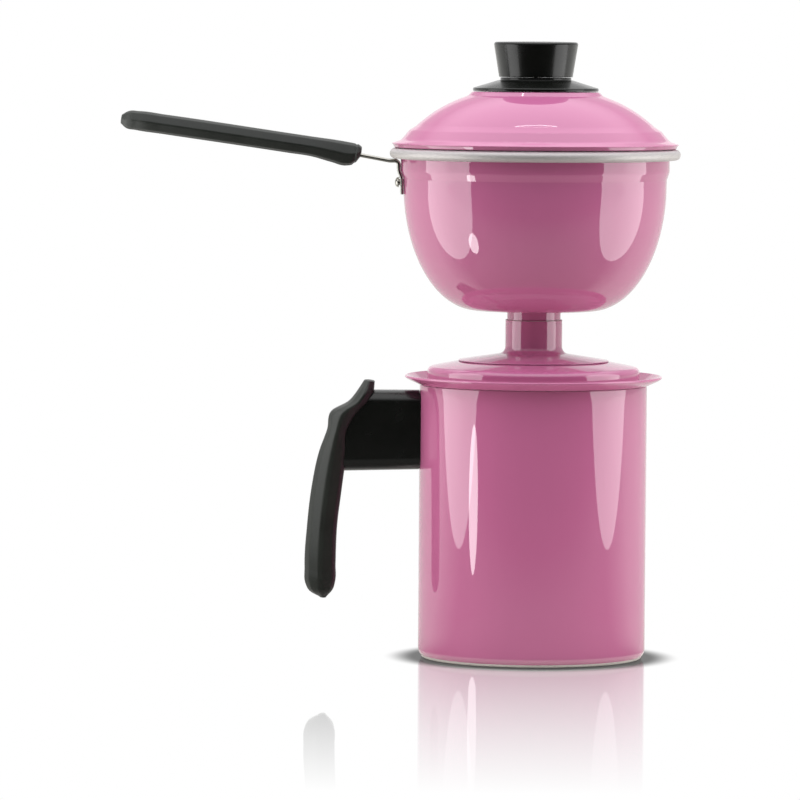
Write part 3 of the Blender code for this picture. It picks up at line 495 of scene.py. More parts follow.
def smooth(values, places, wanted):
    """A smooth curve through values at places: cubic pieces with the slopes between
    neighbours, read at the wanted places."""
    values = np.asarray(values, float)
    places = np.asarray(places, float)
    slopes = np.gradient(values, places, axis=0)
    index = np.clip(np.searchsorted(places, wanted, side="right") - 1, 0, len(places) - 2)
    width = places[index + 1] - places[index]
    t = (wanted - places[index]) / width
    shape = (-1,) + (1,) * (values.ndim - 1)
    t, width = t.reshape(shape), width.reshape(shape)
    return (
        values[index] * (1 + 2 * t) * (1 - t) ** 2
        + slopes[index] * width * t * (1 - t) ** 2
        + values[index + 1] * t ** 2 * (3 - 2 * t)
        + slopes[index + 1] * width * t ** 2 * (t - 1)
    )


# Looks

class Nodes:
    """A node tree, with short ways to add what feeds it."""

    def __init__(self, tree):
        self.tree = tree

    def set(self, node, **sockets):
        """Give a node's sockets values or links."""
        for label, value in sockets.items():
            self.feed(node.inputs[label.replace("_", " ")], value)
        return node

    def feed(self, socket, value):
        """Give one socket a value or a link."""
        if isinstance(value, bpy.types.NodeSocket):
            self.tree.links.new(value, socket)
        else:
            socket.default_value = value

    def add(self, kind, settings=None, **sockets):
        """Add a node of a kind, with its settings and sockets."""
        node = self.tree.nodes.new("ShaderNode" + kind)
        for label, value in (settings or {}).items():
            setattr(node, label, value)
        return self.set(node, **sockets)

    def math(self, operation, *values):
        """One sum, as a socket."""
        node = self.add("Math", {"operation": operation})
        for socket, value in zip(node.inputs, values):
            self.feed(socket, value)
        return node.outputs[0]

    def mix(self, factor, first, second):
        """Blend two shaders by a factor."""
        node = self.add("MixShader", Fac=factor)
        for socket, shader in zip(list(node.inputs)[1:], (first, second)):
            self.tree.links.new(shader.outputs[0], socket)
        return node

    def parts(self, coordinates="Object"):
        """The X, Y and Z of some coordinates."""
        return self.add("SeparateXYZ", Vector=self.add("TexCoord").outputs[coordinates]).outputs

    def length(self, x, y):
        """The root of the sum of two squares."""
        squares = self.math("MULTIPLY", x, x), self.math("MULTIPLY", y, y)
        return self.math("SQRT", self.math("ADD", *squares))

    def spread(self, factor, low, high, first=0.3, last=0.7, kind="LINEAR"):
        """Map a factor that runs from first to last onto a range from low to high."""
        node = self.add("MapRange", {"interpolation_type": kind}, Value=factor)
        self.set(node, From_Min=first, From_Max=last, To_Min=low, To_Max=high)
        return node.outputs[0]


class Look(Nodes):
    """A material on one Principled shader."""

    def __init__(self, name, colour, roughness, metallic=0.0, **sockets):
        self.material = bpy.data.materials.new(name)
        self.material.use_nodes = True
        super().__init__(self.material.node_tree)
        self.shader = self.tree.nodes["Principled BSDF"]
        self.set(self.shader, Base_Color=(*linear(colour), 1.0), Roughness=roughness)
        self.set(self.shader, Metallic=metallic, **sockets)
        self.colour = colour
        self.relief = None

    def rings(self, across, around=0.01):
        """Coordinates for turned marks: radius and height across, the angle little."""
        x, y, z = self.parts()
        angle = self.math("MULTIPLY", self.math("ARCTAN2", y, x), around)
        joined = self.add("CombineXYZ", X=self.length(x, y), Y=z, Z=angle).outputs[0]
        return self.add("VectorMath", {"operation": "SCALE"}, Vector=joined, Scale=across).outputs[0]

    def noise(self, scale, detail=3.0, roughness=0.5, vector=None, stretch=(1.0, 1.0, 1.0)):
        """Noise between 0 and 1, over object coordinates if no others are given."""
        if vector is None:
            coordinates = self.add("TexCoord").outputs["Object"]
            vector = self.add("Mapping", Vector=coordinates, Scale=stretch).outputs[0]
        sockets = {"Scale": scale, "Detail": detail, "Roughness": roughness}
        return self.add("TexNoise", Vector=vector, **sockets).outputs["Fac"]

    def tint(self, factor, low, high, ends=(0.3, 0.7)):
        """Let the colour run between two shares of itself as a factor rises."""
        ramp = self.add("ValToRGB", Fac=factor)
        for element, position, share in zip(ramp.color_ramp.elements, ends, (low, high)):
            element.position = position
            colour = np.clip(np.asarray(tuple(self.colour)) * share, 0.0, 1.0)
            element.color = (*linear(colour), 1.0)
        self.set(self.shader, Base_Color=ramp.outputs["Color"])

    def dull(self, factor, low, high):
        """Let the roughness run between two values as a factor rises."""
        self.set(self.shader, Roughness=self.spread(factor, low, high))

    def bump(self, height, strength, distance):
        """Add relief over what is there."""
        sockets = {"Height": height, "Strength": strength, "Distance": distance}
        if self.relief is not None:
            sockets["Normal"] = self.relief
        self.relief = self.add("Bump", **sockets).outputs["Normal"]
        self.set(self.shader, Normal=self.relief)


def linear(colour):
    """sRGB values as the linear ones that shaders take."""
    colour = np.asarray(tuple(colour), float)
    return np.where(colour <= 0.04045, colour / 12.92, ((colour + 0.055) / 1.055) ** 2.4)


def lacquer_look(tones):
    """Gloss lacquer on spun sheet: a clear hard coat over a colour that varies a little,
    with the faint long waves of sprayed lacquer."""
    coat = {"Coat_Weight": 1.0, "Coat_Roughness": 0.02, "Coat_IOR": 2.0}
    look = Look("pink_lacquer", tones.pink, 0.38, Specular_IOR_Level=0.0, **coat)
    look.tint(look.noise(14.0, 1.0), 0.99, 1.01)
    look.dull(look.noise(40.0, 1.0), 0.34, 0.42)
    look.bump(look.noise(90.0, 0.0), 0.02, 0.002)
    return look.material


def bare_look(tones):
    """Spun aluminium: fine turned rings in tone and relief, and a cloudy gloss."""
    look = Look("bare_aluminium", tones.bare, 0.52, 0.60, Anisotropic=0.35)
    rings = look.noise(1.0, 4.0, 0.7, look.rings(2600.0))
    look.tint(rings, 0.93, 1.03)
    look.dull(look.noise(35.0), 0.46, 0.58)
    look.bump(rings, 0.10, 0.00003)
    return look.material


def steel_look(tones):
    """Polished steel with short scratches along its length."""
    look = Look("bright_steel", tones.steel, 0.18, 1.0)
    grain = look.noise(1.0, 3.0, 0.6, stretch=(60.0, 2400.0, 1800.0))
    look.tint(grain, 0.92, 1.04)
    look.dull(grain, 0.14, 0.26)
    look.bump(grain, 0.08, 0.00003)
    return look.material


def gloss_look(tones):
    """Moulded phenolic with a polished skin: almost black, a little cloudy and marked."""
    look = Look("black_phenolic", tones.gloss, 0.24, Coat_Weight=0.3, Coat_Roughness=0.10)
    look.tint(look.noise(45.0, 4.0), 0.9, 1.12)
    look.dull(look.noise(120.0, 2.0), 0.22, 0.28)
    look.bump(look.noise(500.0, 2.0), 0.02, 0.00005)
    return look.material


def matte_look(tones):
    """Moulded phenolic with a sand-blasted skin: fine grain, rubbed lighter in patches."""
    look = Look("charcoal_phenolic", tones.matte, 0.4)
    grain = look.noise(1500.0, 4.0, 0.65)
    cloud = look.noise(60.0, 4.0, 0.6)
    shares = look.math("MULTIPLY", grain, 0.6), look.math("MULTIPLY", cloud, 0.4)
    look.tint(look.math("ADD", *shares), 0.72, 1.30)
    look.dull(cloud, 0.36, 0.44)
    look.bump(look.noise(420.0), 0.10, 0.0002)
    look.bump(grain, 0.18, 0.0001)
    return look.material


def brass_look(tones):
    """Turned brass, dulled by steam."""
    look = Look("brass", tones.brass, 0.35, 1.0)
    cloud = look.noise(300.0, 4.0)
    look.tint(cloud, 0.78, 1.05)
    look.dull(cloud, 0.28, 0.45)
    look.bump(look.noise(1.0, vector=look.rings(2200.0)), 0.10, 0.00004)
    return look.material


RECIPES = {
    "pink_lacquer": lacquer_look,
    "bare_aluminium": bare_look,
    "bright_steel": steel_look,
    "black_phenolic": gloss_look,
    "charcoal_phenolic": matte_look,
    "brass": brass_look,
}


# Pieces

def look_of(slot):
    """The material of a slot, made when it is first asked for."""
    made = bpy.data.materials.get("look." + slot)
    if made is None:
        made = RECIPES[slot](bpy.context.scene.steamer_tones)
        made.name = "look." + slot
    return made


def place(name, mesh, slot, body, *nodes):
    """Put a finished mesh into the scene with its look, on its body, for its nodes."""
    piece = bpy.data.objects.new(name, mesh)
    bpy.context.scene.collection.objects.link(piece)
    mesh.materials.append(look_of(slot))
    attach(piece, body)
    if nodes:
        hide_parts(*nodes)


def turn(name, line, facets, slot, body, *nodes):
    """Turn a closed line of (radius, height) points into a piece."""
    place(name, revolve(name, line, facets), slot, body, *nodes)


def dress(slot, node):
    """Give a solid that keeps its shape the look of a slot."""
    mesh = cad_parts[node].data
    mesh.materials.clear()
    mesh.materials.append(look_of(slot))


def carve(mesh, cutter):
    """Cut a closed mesh out of a mesh, and return what is left."""
    blank = bpy.data.objects.new("blank", mesh)
    tool = bpy.data.objects.new("tool", cutter)
    for item in (blank, tool):
        bpy.context.scene.collection.objects.link(item)
    cut = blank.modifiers.new("cut", "BOOLEAN")
    cut.operation = "DIFFERENCE"
    cut.solver = "EXACT"
    cut.object = tool
    bpy.context.view_layer.update()
    graph = bpy.context.evaluated_depsgraph_get()
    result = bpy.data.meshes.new_from_object(blank.evaluated_get(graph))
    result.name = mesh.name + ".cut"
    for item in (blank, tool):
        bpy.data.objects.remove(item, do_unlink=True)
    result.shade_smooth()
    result.set_sharp_from_angle(angle=math.radians(CREASE))
    return result


def rod(radius, low, high, matrix, facets=48):
    """A closed round cutter along a frame's Z."""
    line = np.array([(0.0, high), (radius, high), (radius, low), (0.0, low)])
    mesh = revolve("rod", line, facets)
    mesh.transform(matrix)
    return mesh


def domed(radius, height, seat, edge=0.0003, steps=10):
    """A domed head from its crown to its seat: a quarter ellipse over a short edge."""
    angles = np.linspace(math.pi / 2, 0.0, steps + 1)
    rise = edge + (height - edge) * np.sin(angles)
    line = np.stack([radius * np.cos(angles), seat + rise], axis=-1)
    line[0, 0] = 0.0
    return np.concatenate([line, [(radius, seat)]])


def domed_rivet(node, slot, body, shank, head, tail):
    """A rivet across a wall at -X: a domed head outside and another one inside."""
    low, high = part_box(node)
    radius = (high.y - low.y) / 2
    outer, inner = -low.x - head, -high.x + tail
    foot = domed(radius, tail, 0.0)[::-1] * (1.0, -1.0) + (0.0, inner)
    line = np.concatenate([domed(radius, head, outer), [(shank, outer), (shank, inner)], foot])
    mesh = revolve(node + "_head", line, SMALL_FACETS)
    middle = Matrix.Translation((0.0, (low.y + high.y) / 2, (low.z + high.z) / 2))
    mesh.transform(middle @ TO_MINUS_X)
    place(node + "_head", mesh, slot, body, node)


def slotted_screw(name, node, body, sizes, seat, end, matrix):
    """A screw along a frame's Z, from its slotted head's seat down to its end.

    The sizes are the shank's radius, the head's radius and the head's height. The slot
    is a round cutter pressed flat to a share of its width.
    """
    shank, radius, head = sizes
    line = rounded([
        (0.0, seat + head, 0),
        (radius * 0.86, seat + head * 0.94, head * 0.3),
        (radius, seat + head * 0.35, head * 0.2),
        (radius, seat, 0),
        (shank, seat, 0),
        (shank, end + SCREW_POINT, 0),
        (shank - SCREW_POINT, end, 0),
        (0.0, end, 0),
    ])
    pressed = Matrix.Diagonal((1.0, SLOT_SHARE, 1.0, 1.0))
    slot = rod(radius * 1.2, seat + head - SLOT_DEPTH, seat + head + 0.001, pressed)
    mesh = carve(revolve(name, line, SMALL_FACETS), slot)
    mesh.transform(matrix)
    place(name, mesh, "bright_steel", body, node)


def coated_pieces(scene, name, section, count, body, node):
    """Turn the metal and the lacquer of a section, painted on its first points."""
    sheet = scene.steamer_sheet
    metal, skin = coated(section, count, sheet.lacquer, sheet.lap)
    turn(name + "_metal", metal, sheet.facets, "bare_aluminium", body, node)
    turn(name + "_lacquer", skin, sheet.facets, "pink_lacquer", body)


# Turned lines, each down its painted side

def mug_lines(sizes):
    """The painted wall into its base corner, and the bare rest of the base.

    The lacquer ends part of the way round the corner. Below it the metal is turned to
    a land that leans in, and the base has one shallow pressed ring.
    """
    ring, half = sizes.ring_radius, sizes.ring_width / 2
    sweep = -math.pi / 2 * (1 - sizes.bare_edge)
    centre = (MUG_RADIUS - sizes.corner, MUG_FOOT + sizes.corner)
    lip = MUG_TOP - sizes.wall / 2
    middle = (MUG_RADIUS - sizes.wall / 2, lip)
    over = arc(middle, sizes.wall / 2, math.pi * sizes.painted_lip, 0.0, 7)
    wall = np.linspace((MUG_RADIUS, lip), (MUG_RADIUS, MUG_FOOT + sizes.corner), 25)
    painted = np.concatenate([over[:-1], wall, arc(centre, sizes.corner, 0.0, sweep, 8)[1:]])
    edge, foot = painted[-1], MUG_FOOT + sizes.land_foot
    past = 0.00002
    lean = (edge[1] - foot) * math.tan(math.radians(sizes.land_slope))
    base = rounded([
        (edge[0] + past, edge[1] - 2 * past, 0),
        (edge[0] - lean, foot, sizes.land_bend),
        (edge[0] - lean - 2 * sizes.land_foot, MUG_FOOT, sizes.land_foot),
        (ring + 2 * half, MUG_FOOT, 0),
        (ring + half, MUG_FOOT + sizes.ring_depth, half / 2),
        (ring - half, MUG_FOOT + sizes.ring_depth, half / 2),
        (ring - 2 * half, MUG_FOOT, 0),
        (0.0, MUG_FOOT, 0),
    ])
    return painted, base


def tube_line(sizes):
    """The steam tube from its top, down into the flare of its foot."""
    edge = MUG_TOP + sizes.shoulder_rise + sizes.cone_rise + sizes.foot_edge
    rise = (FOOT_RADIUS - sizes.tube_radius) * math.tan(math.radians(sizes.foot_slope))
    return rounded([
        (sizes.tube_radius, TUBE_TOP, 0),
        (sizes.tube_radius, edge + rise, sizes.tube_flare),
        (FOOT_RADIUS, edge, 0),
    ])


def steam_lid_line(sizes, mug_wall):
    """From the steam hole out over the recess, cone, shoulder, groove and brim."""
    slope = math.tan(math.radians(sizes.foot_slope))
    recess = FOOT_RADIUS + sizes.fit / 3
    recess_floor = LEDGE - (recess - sizes.ledge_radius) * slope
    inside = MUG_RADIUS - mug_wall - sizes.fit - sizes.sheet
    shoulder = inside - sizes.groove
    floor = GROOVE_FOOT + sizes.sheet
    brim = MUG_TOP + sizes.fit / 3 + sizes.sheet
    cone = MUG_TOP + sizes.shoulder_rise + sizes.cone_rise - sizes.seam
    low_bend = sizes.groove * sizes.groove_bend
    tip = BRIM_RADIUS - sizes.hem / 2
    return rounded([
        (sizes.hole_radius, LEDGE, 0),
        (sizes.ledge_radius, LEDGE, sizes.ledge_bend),
        (recess, recess_floor, 0),
        (recess, cone, sizes.cone_bend),
        (shoulder, MUG_TOP + sizes.shoulder_rise, sizes.shoulder_bend),
        (shoulder, floor, low_bend),
        (inside, floor, low_bend),
        (inside, brim, sizes.sheet * sizes.edge_bend),
        (MUG_RADIUS + sizes.sheet, brim, sizes.brim_bend),
        (tip, brim + sizes.brim_rise, 0),
    ])


def bowl_lines(sizes):
    """The curl of the rim, and the painted wall below it.

    Below the collar the wall is a quarter of an ellipse down to the flat bottom.
    """
    collar = BOWL_FOOT + sizes.curve
    top = collar + sizes.collar + sizes.step_height
    wide = sizes.radius + sizes.step_out
    centre = (RIM_RADIUS - sizes.bead, BOWL_TOP - sizes.bead)
    curl = sizes.bead - sizes.wall
    opening = math.radians(sizes.bead_opening)
    rim = arc(centre, curl, opening - math.pi, math.pi, 48)
    angles = np.linspace(0.0, math.pi / 2, 49)
    side = np.stack([
        sizes.flat_radius + (sizes.radius - sizes.flat_radius) * np.cos(angles),
        collar - sizes.curve * np.sin(angles),
    ], axis=-1)
    shoulder = rounded([
        (centre[0] - curl, centre[1], 0),
        (centre[0] - curl, centre[1] - sizes.bead / 2, sizes.rim_bend),
        (wide, BOWL_TOP - 2 * sizes.bead, sizes.rim_bend),
        (wide, top, sizes.band_bend),
        (sizes.radius + sizes.collar_lean, collar + sizes.collar, sizes.collar_bend),
        (sizes.radius, collar, 0),
    ])
    return rim, np.concatenate([shoulder, side[1:]])


def dome_lines(sizes):
    """The painted top down round its hemmed edge, and the bare skirt and underside.

    The side is a straight chord plus a bulge of 4 * bulge * t * (1 - t) square to it.
    """
    edge = np.array((sizes.edge_radius, BOWL_TOP + sizes.edge_rise))
    start = np.array((sizes.foot_radius, DOME_TOP - sizes.foot_drop))
    chord = edge - start
    t = np.linspace(0.0, 1.0, 25)[:, None]
    square = unit(np.array((-chord[1], chord[0])))
    side = start + chord * t + square * sizes.bulge * 4 * t * (1 - t)
    top = rounded([
        (sizes.screw_way, DOME_TOP, 0),
        (sizes.top_radius, DOME_TOP, sizes.top_bend),
        (sizes.bend_radius, DOME_TOP - sizes.bend_drop, sizes.foot_bend),
        (*side[0], 0),
    ])
    brim = rounded([
        (*side[-1], 0),
        (edge[0] + sizes.stamp_width, edge[1] - sizes.stamp_drop, sizes.stamp_bend),
        (sizes.flare_radius, BOWL_TOP + sizes.flare_rise, sizes.flare_bend),
        (DOME_RADIUS - sizes.sheet / 2, BOWL_TOP + sizes.rim_rise, 0),
    ])
    top_side = np.concatenate([top, side[1:-1], brim])
    seat = BOWL_TOP + sizes.seat_fit
    edge_round = turned_edge(top_side, sizes.hem, steps=6)
    lip = rounded([
        (*edge_round[-1], 0),
        (RIM_RADIUS - sizes.lip_inset, seat, sizes.hem),
        (sizes.skirt, seat, 0),
    ])[1:-1]
    rest = rounded([
        (sizes.skirt, seat, 0),
        (sizes.skirt, SKIRT_FOOT + sizes.sheet / 2, 0),
    ])
    foot = turned_edge(rest, sizes.sheet)
    inner = sizes.skirt - sizes.sheet
    under = offset(top_side, sizes.sheet)
    joint = (inner, float(np.interp(inner, under[:, 0], under[:, 1])) - sizes.hem)
    under = under[under[:, 0] < inner - sizes.hem]
    rest = np.concatenate([rest, foot, [joint], under[::-1]])
    return np.concatenate([top_side, edge_round, lip]), rest


# Grips

# Stations from the thumb rest down, as in the solid: outer edge and inner edge in shares
# of the sweep and of the length, and the share of the full width
MUG_GRIP_STATIONS = (
    ((-0.244, 0.053), (-0.400, 0.047), 0.55),
    ((-0.170, 0.016), (-0.389, 0.010), 0.88),
    ((-0.038, -0.039), (-0.318, -0.039), 1.00),
    ((0.238, -0.094), (-0.153, -0.098), 1.00),
    ((0.285, -0.172), (-0.016, -0.175), 1.00),
    ((0.395, -0.271), (0.000, -0.271), 1.00),
    ((0.501, -0.430), (0.066, -0.445), 0.98),
    ((0.570, -0.624), (0.132, -0.624), 0.96),
    ((0.600, -0.809), (0.151, -0.809), 0.94),
    ((0.586, -0.886), (0.153, -0.873), 0.90),
    ((0.510, -0.925), (0.197, -0.916), 0.75),
    ((0.384, -0.947), (0.282, -0.947), 0.45),
)

# Stations from the bowl out: share of the length, top and underside in shares of the
# height, and the share of the width
BOWL_GRIP_STATIONS = (
    (0.000, 0.400, -0.120, 0.86),
    (0.012, 0.500, -0.380, 1.00),
    (0.024, 0.520, -0.530, 1.00),
    (0.052, 0.540, -0.660, 1.00),
    (0.118, 0.559, -0.588, 1.00),
    (0.196, 0.549, -0.461, 1.00),
    (0.298, 0.549, -0.451, 1.00),
    (0.824, 0.549, -0.451, 1.00),
    (0.933, 0.529, -0.451, 0.95),
    (0.980, 0.431, -0.402, 0.75),
    (1.000, 0.235, -0.235, 0.42),
)

# Cross-sections as (place from the first edge to the second, share of the half width)
MUG_GRIP_SECTION = ((0.0, 0.35), (0.15, 0.72), (0.42, 1.0), (0.58, 1.0), (0.90, 0.82), (1.0, 0.62))
BOWL_GRIP_SECTION = ((0.0, 0.60), (0.12, 0.88), (0.46, 1.0), (0.54, 1.0), (0.90, 0.80), (1.0, 0.50))

# The depth for which each section's corners are bent, and the radius of that bend
MUG_GRIP_BEND = (0.0164, 0.0034)
BOWL_GRIP_BEND = (0.0102, 0.0013)

# The neck ends this share of the way from the grip's outer edge to its inner one
NECK_BITE = 0.45


def ring_of(section, width, depth, bend):
    """A grip's closed cross-section with round corners, in shares of depth and width."""
    corners = [(along * depth, -out * width, bend) for along, out in section]
    corners += [(along * depth, out * width, bend) for along, out in reversed(section)]
    ring = rounded(corners, closed=True, fine=math.radians(6.0))
    return ring / np.array((depth, width))


def capped(name, rings, sharp):
    """Skin rings of points. Each end closes on the middle of its own ring."""
    middles = rings.mean(axis=1, keepdims=True)
    start, end = (np.repeat(one, rings.shape[1], axis=1) for one in (middles[:1], middles[-1:]))
    return surface(name, np.concatenate([start, rings, end]), sharp=sharp)


def loft(name, first, second, half, ring):
    """Carry a ring along a grip.

    At each station the ring runs from the first edge to the second by its first share,
    and out to the half width by its second: point = first + (second - first) * share,
    with Y = half width * share.
    """
    flat = first[:, None] + (second - first)[:, None] * ring[None, :, 0, None]
    across = half[:, None] * ring[None, :, 1]
    return capped(name, np.stack([flat[..., 0], across, flat[..., 1]], axis=-1), 50.0)


def closed_ends(first, second, width, tuck, steps=7):
    """Round off a grip's two ends: over the tuck, both edges draw in to the middle and the
    width shrinks, by the sine of an angle whose cosine is the way along the tuck."""
    angles = np.linspace(math.pi / 2, 0.12, steps)
    shrink, ahead = np.sin(angles), np.cos(angles)
    middle = (first + second) / 2

    def cap(index, direction):
        centre = middle[index] + direction * ahead[:, None] * tuck
        reach_one = (first[index] - middle[index]) * shrink[:, None]
        reach_two = (second[index] - middle[index]) * shrink[:, None]
        return centre + reach_one, centre + reach_two, width[index] * shrink

    head = cap(0, unit(middle[0] - middle[1]))
    tail = cap(-1, unit(middle[-1] - middle[-2]))
    joined = []
    for part, start, end in zip((first, second, width), head, tail):
        joined.append(np.concatenate([start[:0:-1], part, end[1:]]))
    return joined


# Operators

class STEAMER_OT_mug(bpy.types.Operator):
    """Make the mug: spun metal, with lacquer down to its base corner"""

    bl_idname = "steamer.mug"
    bl_label = "Mug"

    def execute(self, context):
        scene = context.scene
        sizes = scene.steamer_mug
        painted, base = mug_lines(sizes)
        inner = offset(rounded([
            (MUG_RADIUS, MUG_TOP - sizes.wall / 2, 0),
            (MUG_RADIUS, MUG_FOOT, sizes.corner),
            (0.0, MUG_FOOT, 0),
        ]), sizes.wall)[::-1]
        inner[0, 0] = 0.0
        section = np.concatenate([painted, base, inner])
        coated_pieces(scene, "mug", section, len(painted), "mug", "mug_body")
        return {"FINISHED"}


class STEAMER_OT_steam_lid(bpy.types.Operator):
    """Make the funnel lid and the steam tube"""

    bl_idname = "steamer.steam_lid"
    bl_label = "Funnel lid and steam tube"

    def execute(self, context):
        scene = context.scene
        sizes = scene.steamer_steam_lid
        lid = steam_lid_line(sizes, scene.steamer_mug.wall)
        hem = turned_edge(lid, sizes.hem)
        back = hem[-1] - unit(lid[-1] - lid[-2]) * sizes.hem_width
        under = offset(lid, sizes.sheet)[::-1]
        under = under[int(np.argmax(under[:, 0] < back[0])):]
        brim = int(np.sum(under[:, 0] > MUG_RADIUS))
        painted = np.concatenate([lid, hem, [back], under[:brim]])
        section = np.concatenate([painted, under[brim:], turned_edge(under, sizes.sheet)[:-1]])
        coated_pieces(scene, "mug_lid", section, len(painted), "steam_lid", "mug_lid")
        tube = tube_line(sizes)
        section = sheet_section(tube, sizes.tube_wall)
        coated_pieces(scene, "steam_tube", section, len(tube) + 7, "steam_lid", "steam_tube")
        return {"FINISHED"}


class STEAMER_OT_bowl(bpy.types.Operator):
    """Make the bowl with its rolled bare rim, its lacquered wall and its spigot"""

    bl_idname = "steamer.bowl"
    bl_label = "Bowl"

    def execute(self, context):
        scene = context.scene
        sizes, tube = scene.steamer_bowl, scene.steamer_steam_lid
        rim, wall = bowl_lines(sizes)
        spigot = tube.tube_radius - tube.tube_wall - tube.fit
        whole = np.concatenate([rim, wall[1:], [(spigot + tube.fit, BOWL_FOOT)]])
        section = band(whole, 0.0, sizes.wall)
        bare = int(np.sum(wall[:, 1] > BOWL_TOP - 2 * sizes.bead)) + len(rim)
        section = np.roll(section, -bare, axis=0)
        coated_pieces(scene, "bowl", section, len(whole) - bare, "bowl", "bowl_shell")
        sleeve = rounded([
            (spigot, SPIGOT_FOOT, 0),
            (spigot, BOWL_FOOT + sizes.wall + tube.fit, 0.0002),
            (FLANGE_RADIUS, BOWL_FOOT + sizes.wall + tube.fit, 0),
        ])[::-1]
        section = sheet_section(sleeve, sizes.wall)
        section = np.roll(section, -1, axis=0)
        coated_pieces(scene, "spigot", section, len(sleeve) - 1, "bowl", "bowl_spigot")
        return {"FINISHED"}


class STEAMER_OT_sieve(bpy.types.Operator):
    """Make the perforated plate: rings of six, twelve and so on round holes"""

    bl_idname = "steamer.sieve"
    bl_label = "Perforated plate"

    def execute(self, context):
        scene = context.scene
        sizes = scene.steamer_bowl
        floor = SIEVE_FOOT
        line = rounded([
            (SIEVE_RADIUS, SIEVE_TOP, 0),
            (SIEVE_RADIUS, floor, sizes.sieve_bend),
            (0.0, floor, 0),
        ])
        section = band(line, 0.0, sizes.sieve_sheet)
        section[np.abs(section[:, 0]) < MERGE, 0] = 0.0
        dish = revolve("sieve", section, PLATE_FACETS)
        rings = int((SIEVE_RADIUS - sizes.sieve_margin) / sizes.sieve_pitch)
        centres = [np.zeros((1, 2))]
        for ring in range(1, rings + 1):
            angles = TURN * np.arange(6 * ring) / (6 * ring)
            spokes = np.stack([np.cos(angles), np.sin(angles)], axis=-1)
            centres.append(ring * sizes.sieve_pitch * spokes)
        centres = np.concatenate(centres)
        low, high = floor - sizes.sieve_sheet, floor + 2 * sizes.sieve_sheet
        cutter = punches("holes", centres, sizes.sieve_hole, low, high)
        place("sieve", carve(dish, cutter), "bare_aluminium", "sieve", "sieve_plate")
        return {"FINISHED"}


class STEAMER_OT_lid(bpy.types.Operator):
    """Make the domed lid"""

    bl_idname = "steamer.lid"
    bl_label = "Domed lid"

    def execute(self, context):
        scene = context.scene
        painted, rest = dome_lines(scene.steamer_lid)
        section = np.concatenate([painted, rest])
        coated_pieces(scene, "dome", section, len(painted), "lid", "lid_dome")
        return {"FINISHED"}


class STEAMER_OT_knob(bpy.types.Operator):
    """Make the knob, its plate and the washer"""

    bl_idname = "steamer.knob"
    bl_label = "Knob and plate"

    def execute(self, context):
        scene = context.scene
        facets, sizes = scene.steamer_sheet.facets, scene.steamer_lid
        plate_top = PLATE_TOP - sizes.neck_rise
        plate = rounded([
            (sizes.screw_way, PLATE_TOP, 0),
            (sizes.neck_radius, PLATE_TOP, sizes.small_bend),
            (sizes.neck_radius, plate_top, sizes.small_bend),
            (sizes.plate_top, plate_top, sizes.plate_bend),
            (PLATE_RADIUS, PLATE_FOOT + sizes.plate_edge, sizes.rim_bend),
            (PLATE_RADIUS, PLATE_FOOT, sizes.small_bend),
            (sizes.screw_way, PLATE_FOOT, 0),
        ])
        turn("knob_plate_turned", plate, facets, "black_phenolic", "lid", "knob_plate")
        wide = KNOB_RADIUS + sizes.knob_grow
        bore_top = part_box("knob_insert")[1].z + scene.steamer_steam_lid.fit
        spread = np.linspace(0.0, 1.0, 13)[:-1]
        crown = np.stack([wide * spread, KNOB_TOP - sizes.knob_dome * spread ** 2], axis=-1)
        side = rounded([
            (*crown[-1], 0),
            (wide, KNOB_TOP - sizes.knob_dome, sizes.knob_edge),
            (sizes.knob_foot, KNOB_FOOT, sizes.knob_bend),
            (sizes.knob_bore, KNOB_FOOT, 0),
            (sizes.knob_bore, bore_top, 0),
            (0.0, bore_top, 0),
        ])
        knob = np.concatenate([crown, side[1:]])
        turn("knob_turned", knob, facets, "black_phenolic", "lid", "knob")
        dress("brass", "knob_insert")
        washer = rounded([
            (sizes.screw_way, WASHER_TOP, 0),
            (WASHER_RADIUS, WASHER_TOP, WASHER_BENDS[0]),
            (WASHER_RADIUS, WASHER_FOOT, WASHER_BENDS[1]),
            (sizes.screw_way, WASHER_FOOT, 0),
        ])
        turn("knob_washer_turned", washer, PLATE_FACETS, "bright_steel", "lid", "knob_washer")
        shank, head = KNOB_SCREW
        slotted_screw(
            "knob_screw_turned", "knob_screw", "lid", (shank, KNOB_SCREW_RADIUS, head),
            -KNOB_SCREW_FOOT - head, -KNOB_SCREW_TOP, UPSIDE_DOWN,
        )
        return {"FINISHED"}


